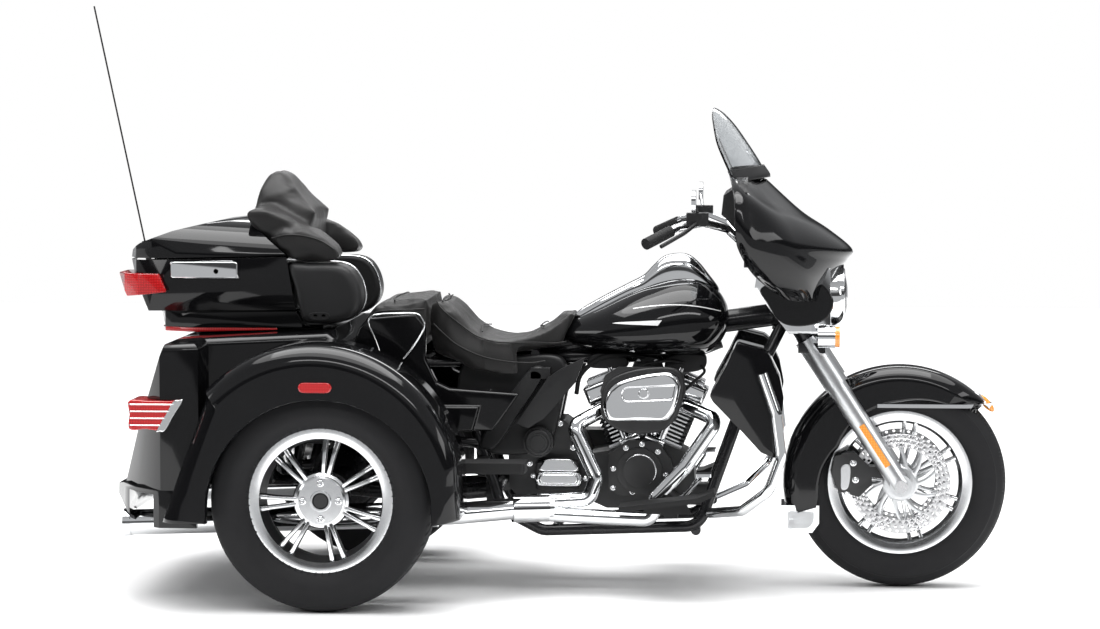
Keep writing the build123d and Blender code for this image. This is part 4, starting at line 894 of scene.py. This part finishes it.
def laidOn(pad, path, along, reach=0.014):
    # lays a path on a pad: the outermost pad point near each place, along one axis (its sign gives the side)
    points = meshCoords(pad.data)
    axis, sign = abs(along) - 1, 1 if along > 0 else -1
    flat = [i for i in range(3) if i != axis]
    away = np.linalg.norm(points[None, :, flat] - path[:, None, flat], axis=2)
    height = np.where(away < reach, sign * points[None, :, axis], -9).max(1)
    line = path.copy()
    found = height > -8
    line[:, axis] = np.interp(np.arange(len(path)), np.arange(len(path))[found], sign * height[found])
    kernel = np.ones(5) / 5
    wide = np.concatenate([line[:1, axis]] * 2 + [line[:, axis]] + [line[-1:, axis]] * 2)
    line[:, axis] = np.convolve(wide, kernel, "valid")
    return line


def tube(name, line, radius, slotName, body="chassis", count=60, around=14, across=(0.05, 1, 0.08),
        sharp=60):
    grid = pipeGrid(line, radius, count, around, across)
    return piece(surface(name, closed(grid), False, True), body, slotName, sharp=sharp)


def piping(name, pad, rows, along, radius=0.0022, lift=0.0012, count=90, body="chassis",
        across=(0.02, 1, 0.03)):
    line = laidOn(pad, smoothRows(rows, count), along)
    line[:, abs(along) - 1] += lift if along > 0 else -lift
    return tube(name, line, radius, "seat_cover", body, count, 8, across, 80)


sideSeams = {  # pad, body, x and z from the rear axle
    "rider_seam": ("rider_seat", "chassis", [(284, 868), (300, 846), (345, 808), (400, 768), (460, 748),
        (520, 744),
                                             (580, 742), (630, 738), (668, 742)]),
    "rider_low_seam": ("rider_seat", "chassis", [(276, 800), (300, 778), (350, 738), (420, 706), (490, 690),
                                                 (560, 684), (610, 690)]),
    "passenger_seam": ("passenger_seat", "chassis", [(70, 800), (110, 836), (180, 842), (252, 846)]),
    "arm_seam": ("backrest", "luggage_lid", [(-196, 1058), (-150, 1068), (-100, 1066), (-50, 1052),
        (-8, 1026)]),
}
for word, side in sides:
    for name, (node, body, rows) in sideSeams.items():
        piping(name + "_" + word, pads[node], fromRear([(x, 0, z) for x, z in rows]), 2 * side, body=body)
crossSeams = {  # pad, x and y from the rear axle
    "rider_cross": ("rider_seat", [(420, -150), (412, -70), (408, 0), (412, 70), (420, 150)]),
    "rider_front": ("rider_seat", [(600, -96), (588, -50), (584, 0), (588, 50), (600, 96)]),
    "rider_back": ("rider_seat", [(300, -150), (298, -70), (297, 0), (298, 70), (300, 150)]),
    "passenger_cross": ("passenger_seat", [(160, -180), (150, -90), (147, 0), (150, 90), (160, 180)]),
}
for name, (node, rows) in crossSeams.items():
    path = fromRear([(x, y, 0) for x, y in rows])
    piping(name + "_seam", pads[node], path, 3, 0.002, 0.001, 80, across=(1, 0, 0))
print("seams made")


# engine dressing: pillowed covers, bolts, tubes
def smoothLoop(rows, count):
    # closed Catmull-Rom through the rows
    rows = np.asarray(rows, float)
    t = np.linspace(0, len(rows), count, endpoint=False)
    i = t.astype(int)
    f = (t - i)[:, None]
    a, b, c, d = (rows[(i + k) % len(rows)] for k in (-1, 0, 1, 2))
    return 0.5 * (2 * b + (c - a) * f + (2 * a - 5 * b + 4 * c - d) * f**2 + (3 * b - a - 3 * c + d) * f**3)


def pillowGrid(outline, foot, top, roll, origin, around=140, rings=30, dish=None):
    # side-view outline drawn in ring by ring: y rises from foot to top over a quarter round, plus the dish
    loop = smoothLoop(outline, around)
    centre = (loop.min(0) + loop.max(0)) / 2
    size = np.linalg.norm(loop - centre, axis=1).mean()
    sign = 1 if top > foot else -1
    q = np.linspace(0, pi / 2, 7)
    inset = np.concatenate([[0, 0], roll * (1 - np.cos(q))[1:], np.linspace(roll, size, rings)[1:]])
    rise = np.concatenate([[foot, top - sign * roll], top - sign * roll * (1 - np.sin(q))[1:],
        np.full(rings - 1, top)])
    scale = (1 - inset / size)[:, None, None]
    flat = centre + (loop - centre)[None] * scale
    y = np.broadcast_to(rise[:, None], flat.shape[:2]).copy()
    if dish:
        y = y + sign * dish(flat[..., 0], flat[..., 1]) * np.clip((inset - roll) / 4, 0, 1)[:, None]
    return origin(np.stack([flat[..., 0], y, flat[..., 1]], -1))


def pillow(name, outline, foot, top, roll, finishSlot, body="chassis", origin=fromFront, stands=(),
        dish=None, finish=None, sharp=50, around=140, rings=30):
    grid = pillowGrid(outline, foot, top, roll, origin, around, rings, dish)
    return piece(surface(name, grid, False, True), body, finishSlot, finish, stands, sharp)


def capsule(x, z, x0, x1, zMid, half, soft=2.0):
    # 1 inside a lying capsule from x0 to x1, 0 outside, over soft millimetres
    away = np.hypot(x - np.clip(x, x0, x1), z - zMid) - half
    return np.clip(0.5 - away / soft, 0, 1)


def cleanerDish(x, z):
    # a long pocket with a raised round boss in it
    pocket = capsule(x, z, -806, -640, 600 + (x + 806) * 0.05, 21)
    boss = np.clip(0.5 - (np.hypot(x + 762, z - 603) - 14) / 1.5, 0, 1)
    return -3.5 * pocket + 3.5 * boss + 1.5 * np.clip(1 - np.hypot((x + 768) / 115, (z - 593) / 75), 0, 1)


def ringDish(x0, z0, disc, *grooves):
    # a raised disc (radius, height) with round grooves (radius, half width, depth) about it
    def dish(x, z):
        away = np.hypot(x - x0, z - z0)
        return disc[1] * (away < disc[0]) - sum(deep * (np.abs(away - r) < half) for r, half,
            deep in grooves)
    return dish


cleaner = [(-881, 563), (-876, 590), (-864, 614), (-840, 634), (-800, 649), (-746, 661), (-694, 666),
    (-668, 657), (-655, 632), (-657, 606), (-668, 563), (-681, 538), (-700, 521), (-740, 519.5),
    (-800, 519.5), (-858, 520), (-874, 531)]
pillow("cleaner_cover", cleaner, -207, -262, 13, "chrome", stands=("air_cleaner_cover",), dish=cleanerDish,
    around=200, rings=60)
plate = [(-893, 560), (-888, 600), (-872, 630), (-840, 652), (-790, 668), (-730, 676), (-680, 675),
    (-652, 660), (-642, 630), (-646, 596), (-664, 540), (-690, 500), (-720, 484), (-780, 477), (-830, 484),
    (-872, 508), (-888, 530)]
pillow("cleaner_rim", plate, -196, -212, 7, "engine_black")

pillow("cam_round", circle(-777, 362, 50, 16), -146, -163, 4, "chrome", around=96, rings=50,
       dish=ringDish(-777, 362, (15, 1.5), (38, 2.2, 2.2), (27, 1.2, 2.0)))
pillow("gear_cover", [(-1086, 318), (-1090, 336), (-1078, 352), (-1020, 354), (-962, 352), (-952, 336),
    (-956, 318), (-974, 312), (-1066, 312)], -146, -158, 6, "chrome", dish=lambda x,
    z: 1.6 * capsule(x, z, -1066, -976, 333, 13))
pillow("gear_cover_top", [(-1078, 358), (-1072, 380), (-1060, 392), (-1020, 394), (-984, 392), (-972, 380),
    (-964, 358), (-1020, 357)], -146, -156, 5, "chrome")
pillow("starter_cap", circle(-1082, 444, 40, 14), -160, -172, 6, "engine_black", around=80, rings=40,
       dish=ringDish(-1082, 444, (22, 2), (30, 2, 2)))


def bolts(name, places, y0, y1, r, side=-1, body="chassis"):
    # domed heads with a socket, one turned profile copied to every place; y0 is the seat, y1 the head
    profile = np.array([(r * 1.25, y0), (r * 1.25, y0 + 1.2), (r, y0 + 1.4), (r, y1 - 1.4), (r * 0.8, y1),
        (r * 0.5, y1), (r * 0.45, y1 - 2.2), (0, y1 - 2.4)])
    a = ring(18)[:, None]
    one = np.stack([profile[:, 0] * np.cos(a), side * profile[:, 1] + 0 * a, profile[:, 0] * np.sin(a)], -1)
    shift = np.array([(x, 0, z) for x, z in places], float)
    return piece(surface(name, fromFront(one[None] + shift[:, None, None]), True), body, "chrome", sharp=30)


bolts("bolts_case", [(-1058, 425), (-981, 423), (-1112, 374), (-1100, 336), (-944, 330), (-1020, 496),
    (-1114, 483), (-935, 400)], 104, 111, 7)
bolts("bolts_cam", [(-820, 428), (-772, 440), (-724, 418), (-858, 366), (-858, 308), (-700, 348),
    (-716, 300), (-800, 296)], 147, 154, 6.5)


def straightTubes(name, rows, radius, slotName="chrome", body="chassis", steps=24):
    # straight bars between pairs of places: a circle carried from one end to the other, its ends closed
    ends = np.asarray(rows, float)
    first, last = ends[:, :3], ends[:, 3:]
    line = last - first
    unit = line / np.linalg.norm(line, axis=1, keepdims=True)
    u = np.cross(unit, (0.13, 1, 0.07))
    u /= np.linalg.norm(u, axis=1, keepdims=True)
    v = np.cross(unit, u)
    a = ring(steps)[None, None, :, None]
    grow = np.array([0, 0.92, 1, 1, 0.92, 0])[None, :, None, None] * radius
    t = np.array([0, 0, 0.02, 0.98, 1, 1])[None, :, None, None]
    grid = first[:, None, None] + t * line[:, None, None] + grow * (np.cos(a) * u[:, None, None]
        + np.sin(a) * v[:, None, None])
    return piece(surface(name, fromFront(grid), False, True), body, slotName, sharp=40)


pushrods = [(-800 + k, -112, 440, -800 + k - 62, -96, 590) for k in (-22, 8)] + [(-742 + k, -112, 440,
    -742 + k + 62, -96, 590) for k in (-8, 22)]
straightTubes("pushrod_tubes", pushrods, 9)
straightTubes("lifter_blocks", [(-836, -118, 436, -782, -118, 462), (-762, -118, 462, -708, -118, 436)], 15)
straightTubes("head_bolts", [(-870, -60, 650, -874, -60, 662), (-660, -60, 650, -656, -60, 662)], 8)

# latch of the luggage box, with its handle and lock
latch = [(-498, 985), (-470, 987), (-400, 990), (-320, 992.5), (-309, 987), (-302, 968), (-294, 944),
    (-298, 940), (-400, 940), (-456, 940), (-476, 951)]
pillow("latch_cover", latch, -280, -289, 2, "chrome", origin=fromRear, dish=lambda x,
    z: -1.4 * ((np.abs(x + 447) < 1.2) | (np.abs(x + 334) < 1.2)) * (z < 979) - 1.4
    * (np.abs(z - 978) < 1.2) * (x > -447) * (x < -334) + 1.0 * (np.hypot(x + 360, z - 960) < 8) - 1.0
    * (np.abs(np.hypot(x + 360, z - 960) - 9) < 1.0), rings=60)
print("engine dressed")

# small parts that fill in the side view


def onto(node, rows, side, count, lift):
    # a side-view path laid on the outermost face of a CAD piece, lifted off it
    mesh = nodes[node].data
    tree = BVHTree.FromPolygons([v.co for v in mesh.vertices], [p.vertices for p in mesh.polygons])
    line = fromFront([(x, 0, z) for x, z in smoothRows(rows, count)])
    hits = [tree.ray_cast((x, side * 2, z), (0, -side, 0))[0] for x, _, z in line]
    found = np.array([hit is not None for hit in hits])
    depth = np.array([hit.y if hit else 0 for hit in hits])
    line[:, 1] = np.interp(np.arange(count), np.arange(count)[found], depth[found]) + side * lift
    return line


def hose(name, rows, radius, slotName="rubber", **more):
    return tube(name, fromFront(rows), radius, slotName, **more)


def bead(name, centre, radii, tilt, slotName, body="chassis"):
    # an ellipsoid tilted about the cross axis
    u = np.linspace(-pi / 2, pi / 2, 24)[:, None]
    v = ring(32)[None]
    x, y, z = radii[0] * np.cos(u) * np.cos(v), radii[1] * np.sin(u) + 0 * v, radii[2] * np.cos(u) * np.sin(v)
    c, s = np.cos(radians(tilt)), np.sin(radians(tilt))
    grid = fromFront(np.stack([x * c - z * s, y, x * s + z * c], -1) + centre)
    return piece(surface(name, grid, False, True), body, slotName, sharp=80)


for word, side in sides:
    wheel = "rear_wheel_" + word
    bolts("lugs_" + word, circle(-1670, 323.5, 52, 4), 632, 641, 9, side, wheel)
    plug = turnedGrid([(0, side * 637), (20, side * 637), (23, side * 634)], rearAxle, 48)
    piece(surface("hub_plug_" + word, plug, True), wheel, "engine_black", sharp=40)
    guard = [(-1010, 686), (-1150, 700), (-1300, 690), (-1330, 560), (-1290, 430), (-1160, 400),
        (-1060, 430), (-1020, 520)]
    pillow("inner_guard_" + word, guard, side * 60, side * 128, 10, "dark_plastic", rings=12)
    strip = [(-1062, 660), (-1100, 668), (-1160, 600), (-1215, 520), (-1258, 440), (-1236, 420),
        (-1200, 440), (-1140, 530), (-1085, 610)]
    pillow("guard_strip_" + word, strip, side * 120, side * 172, 12, "dark_plastic", rings=12)
    # tail lamp: a red block cut aslant, a chrome strip on the cut, thin bars across the lens
    lens = [(-407, 606), (-440, 606), (-500, 606), (-556, 606), (-556, 566), (-556, 524), (-510, 524),
        (-466, 524), (-436, 562)]
    pillow("tail_lens_" + word, lens, side * 496, side * 618, 5, "red_lens", origin=fromRear, rings=12,
        sharp=35, stands=("tail_lamps",) if side > 0 else ())
    rim = [(-400, 607), (-412, 609), (-428, 604), (-452, 562), (-476, 520), (-466, 518), (-452, 521),
        (-428, 562)]
    pillow("tail_strip_" + word, rim, side * 596, side * 620, 3, "chrome", origin=fromRear, rings=12)
    bars = [(-1670 - 424 - k * 13, side * 618, 596 - k * 20, -1670 - 553, side * 618, 596 - k * 20)
        for k in range(4)]
    straightTubes("tail_bars_" + word, bars, 2.2)
    across = [(-1670 - 556, side * 500, 596 - k * 20, -1670 - 556, side * 618, 596 - k * 20)
        for k in range(4)]
    straightTubes("tail_bars_back_" + word, across, 2.2)
    marker = [(-54, 655), (-48, 666), (-36, 669), (-6, 669), (24, 669), (36, 666), (42, 655), (36, 643),
        (24, 640), (-6, 640), (-36, 640), (-48, 643)]
    pillow("side_marker_" + word, marker, side * 692, side * 700.5, 4, "red_lens", origin=fromRear,
        rings=16)
    # caliper pad and bolts, dark side of the lamp nacelle, ribbed panel of the mud flap
    fork = nodes["lamp_nacelle"]["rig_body"]
    pad = [(-176, 372), (-152, 376), (-150, 340), (-158, 306), (-176, 304), (-178, 340)]
    pillow("caliper_pad_" + word, pad, side * 92, side * 98.5, 2, "satin_metal", body=fork, rings=14)
    bolts("caliper_bolts_" + word, [(-141, 383), (-134, 332), (-160, 288)], 96, 101, 8, side, fork)
    dark = [(-420, 909), (-400, 862), (-362, 809), (-309, 795), (-246, 806), (-214, 832), (-206, 880),
        (-250, 930), (-340, 940)]
    pillow("nacelle_dark_" + word, dark, side * 146, side * 154, 5, "body_plastic", body=fork, rings=14)
    flap = [(-334, 231), (-298, 232), (-262, 231), (-257, 222), (-258, 206), (-264, 192), (-278, 182),
        (-306, 181), (-334, 181), (-336, 206)]
    pillow("mud_panel_" + word, flap, side * 74, side * 78, 1.5, "satin_metal", body=fork, rings=60,
           dish=lambda x, z: -1.2 * (np.sin(z * 1.6) > 0.2))
    outline = [(-1541, 703), (-1562, 762), (-1580, 806), (-1572, 826), (-1540, 833), (-1490, 835),
        (-1440, 835), (-1422, 822), (-1414, 794), (-1442, 744), (-1476, 700)]
    path = onto("side_panels", outline, side, 90, 0.0012)
    tube("panel_piping_" + word, path, 0.0026, "chrome", count=90, around=8, across=(0, 1, 0), sharp=80)

# between the rocker covers and the tank: frame tube, mount, coil cover, plug leads, breather hose
hose("backbone", [(-1040, 0, 690), (-800, 0, 694), (-640, 0, 706), (-540, 0, 740)], 0.022, "frame_paint")
mount = [(-806, 636), (-800, 678), (-772, 694), (-732, 692), (-716, 672), (-712, 636), (-760, 630)]
pillow("engine_mount", mount, -20, -58, 5, "engine_black", dish=ringDish(-760, 664, (8, 3), (0, 14, 4)))
pillow("coil_cover", [(-704, 652), (-706, 684), (-690, 700), (-640, 706), (-592, 702), (-582, 684),
    (-588, 662), (-620, 650), (-664, 648)], -12, -66, 9, "dark_plastic")
pillow("breather_block", [(-936, 662), (-938, 690), (-912, 704), (-850, 700), (-822, 690), (-822, 664),
    (-870, 658)], -10, -60, 8, "dark_plastic")
hose("plug_lead_rear", [(-640, -60, 676), (-700, -80, 684), (-800, -88, 664), (-866, -84, 628),
    (-884, -76, 590)], 0.0045)
hose("plug_lead_front", [(-600, -60, 672), (-588, -84, 652), (-620, -90, 622), (-650, -78, 592)], 0.0045)
hose("breather_hose", [(-760, -50, 690), (-820, -62, 700), (-900, -66, 690), (-960, -60, 640),
    (-975, -50, 580)], 0.007)
straightTubes("mount_bolts", [(-786, -58, 682, -786, -66, 682), (-734, -58, 682, -734, -66, 682),
    (-736, -58, 644, -736, -66, 644)], 6)
bead("fender_lamp", (258, 0, 556), (34, 13, 12), -48, "amber_lens", "fork")
bead("fender_lamp_base", (250, 0, 562), (40, 15, 8), -48, "chrome", "fork")

# speaker pods: rounded shells, a chrome rim round the inner grille, a socket plate low on the outside
podOutline = [(-144, 978), (-78, 983), (-4, 982), (34, 968), (58, 936), (70, 898), (70, 866), (58, 838),
    (34, 818), (-4, 807), (-52, 805), (-100, 811), (-114, 848), (-128, 910)]
for word, side in sides:
    pillow("speaker_pod_" + word, podOutline, side * 200, side * 286, 26, "dark_plastic", origin=fromRear,
        rings=16, stands=("speaker_pods",) if side > 0 else ())
    pillow("speaker_grille_" + word, podOutline, side * 201, side * 160, 12, "rubber", origin=fromRear,
        rings=60, dish=lambda x, z: -0.9 * (np.sin(x * 0.9) * np.sin(z * 0.9) > 0.1))
    rimPath = [(-1670 + x, side * 168, z) for x, z in podOutline[1:11]]
    hose("speaker_rim_" + word, rimPath, 0.0035, "chrome", count=120, across=(0.02, 1, 0.02))
    plate = [(-84, 828), (-76, 838), (-52, 840), (-28, 838), (-20, 828), (-28, 818), (-52, 816), (-76, 818)]
    pillow("socket_plate_" + word, plate, side * 283, side * 287.5, 2, "rubber", origin=fromRear, rings=24,
           dish=lambda x, z: -1.5 * ((np.hypot(x + 64, z - 828) < 6) | (np.hypot(x + 40, z - 828) < 6)))

# left side of the engine: round chrome plates on the primary cover
pillow("primary_round", circle(-1052, 354, 66, 16), 204, 218, 4, "chrome", around=96, rings=50,
       dish=ringDish(-1052, 354, (26, 1.5), (54, 1.6, 1.5)))
pillow("primary_front_round", circle(-742, 350, 46, 16), 204, 217, 4, "chrome", around=96, rings=50,
       dish=ringDish(-742, 350, (18, 1.5), (36, 1.6, 1.5)))
bolts("primary_bolts", circle(-1052, 354, 58, 5, 0.3), 216, 221, 4, 1)
print("small parts made")

# stage: pale floor, soft light, camera where the photograph was taken
camera = {"place": (0.7443, -9.5473, 1.5097), "yaw": 0.0739, "pitch": 0.0723, "lens": 103.5}
corners = [(-12, -2.4, -0.0005), (12, -2.4, -0.0005), (12, 12, -0.0005), (-12, 12, -0.0005)]
floor = putObject("floor", putMesh("floor", corners, np.array([[0, 1, 2, 3]])))
paper = Finish("paper", Base_Color=(0.93, 0.93, 0.93, 1), Roughness=0.9, Specular_IOR_Level=0.1)
floor.data.materials.append(paper.material)

lights = {  # name: place, aimed at, width, height, watts
    "above": ((0, -0.3, 4.4), (0, 0, 0.6), 5.0, 2.4, 150),
    "side": ((0.6, -6.0, 4.2), (0, 0, 0.6), 6.0, 0.6, 90),
    "nose": ((4.8, -2.0, 2.2), (0.5, 0, 0.6), 1.0, 2.6, 30),
    "tail": ((-4.8, -2.2, 2.4), (-0.5, 0, 0.6), 1.0, 2.6, 30),
    "behind": ((0, 6.0, 4.2), (0, 0, 0.5), 6.0, 0.8, 90),
}
for name, (place, aim, wide, high, watts) in lights.items():
    light = bpy.data.lights.new(name, "AREA")
    light.shape, light.size, light.size_y, light.energy = "RECTANGLE", wide, high, watts
    holder = putObject(name, light)
    holder.location = place
    holder.rotation_euler = Vector(np.array(aim, float) - place).to_track_quat("-Z", "Z").to_euler()

sun = bpy.data.lights.new("overhead", "SUN")
sun.energy, sun.angle = 3.1, radians(70)
putObject("overhead", sun)

bpy.context.scene.view_settings.view_transform = "Standard"
world = bpy.data.worlds.new("studio")
world.use_nodes = True
bpy.context.scene.world = world
wires = world.node_tree
link = wires.links.new


def worldNode(kind):
    return wires.nodes.new("ShaderNode" + kind)


# the camera sees white; the pieces reflect a grey room with a dark band above the horizon
seen, sky = worldNode("Background"), wires.nodes["Background"]
seen.inputs["Color"].default_value = (1, 1, 1, 1)
seen.inputs["Strength"].default_value = sky.inputs["Strength"].default_value = 1.0
lookup, parts, height, room = (worldNode(kind) for kind in ("TexCoord", "SeparateXYZ", "MapRange",
    "ValToRGB"))
height.inputs["From Min"].default_value = -1.0
bands = [(0.0, 0.45), (0.51, 0.48), (0.52, 0.05), (0.60, 0.06), (0.66, 0.50), (1.0, 0.32)]
while len(room.color_ramp.elements) < len(bands):
    room.color_ramp.elements.new(0.5)
for stop, (place, shade) in zip(room.color_ramp.elements, bands):
    stop.position, stop.color = place, (shade, shade * 1.01, shade * 1.03, 1)
link(lookup.outputs["Generated"], parts.inputs[0])
link(parts.outputs["Z"], height.inputs["Value"])
link(height.outputs[0], room.inputs[0])
link(room.outputs[0], sky.inputs["Color"])
path, mixed = worldNode("LightPath"), worldNode("MixShader")
link(path.outputs["Is Camera Ray"], mixed.inputs[0])
link(sky.outputs[0], mixed.inputs[1])
link(seen.outputs[0], mixed.inputs[2])
link(mixed.outputs[0], wires.nodes["World Output"].inputs["Surface"])

cameraData = bpy.data.cameras.new("view")
cameraData.lens, cameraData.sensor_width = camera["lens"], 36
viewer = putObject("view", cameraData)
viewer.location = camera["place"]
viewer.rotation_euler = (pi / 2 - camera["pitch"], 0, camera["yaw"])
bpy.context.scene.camera = viewer
print("stage made")
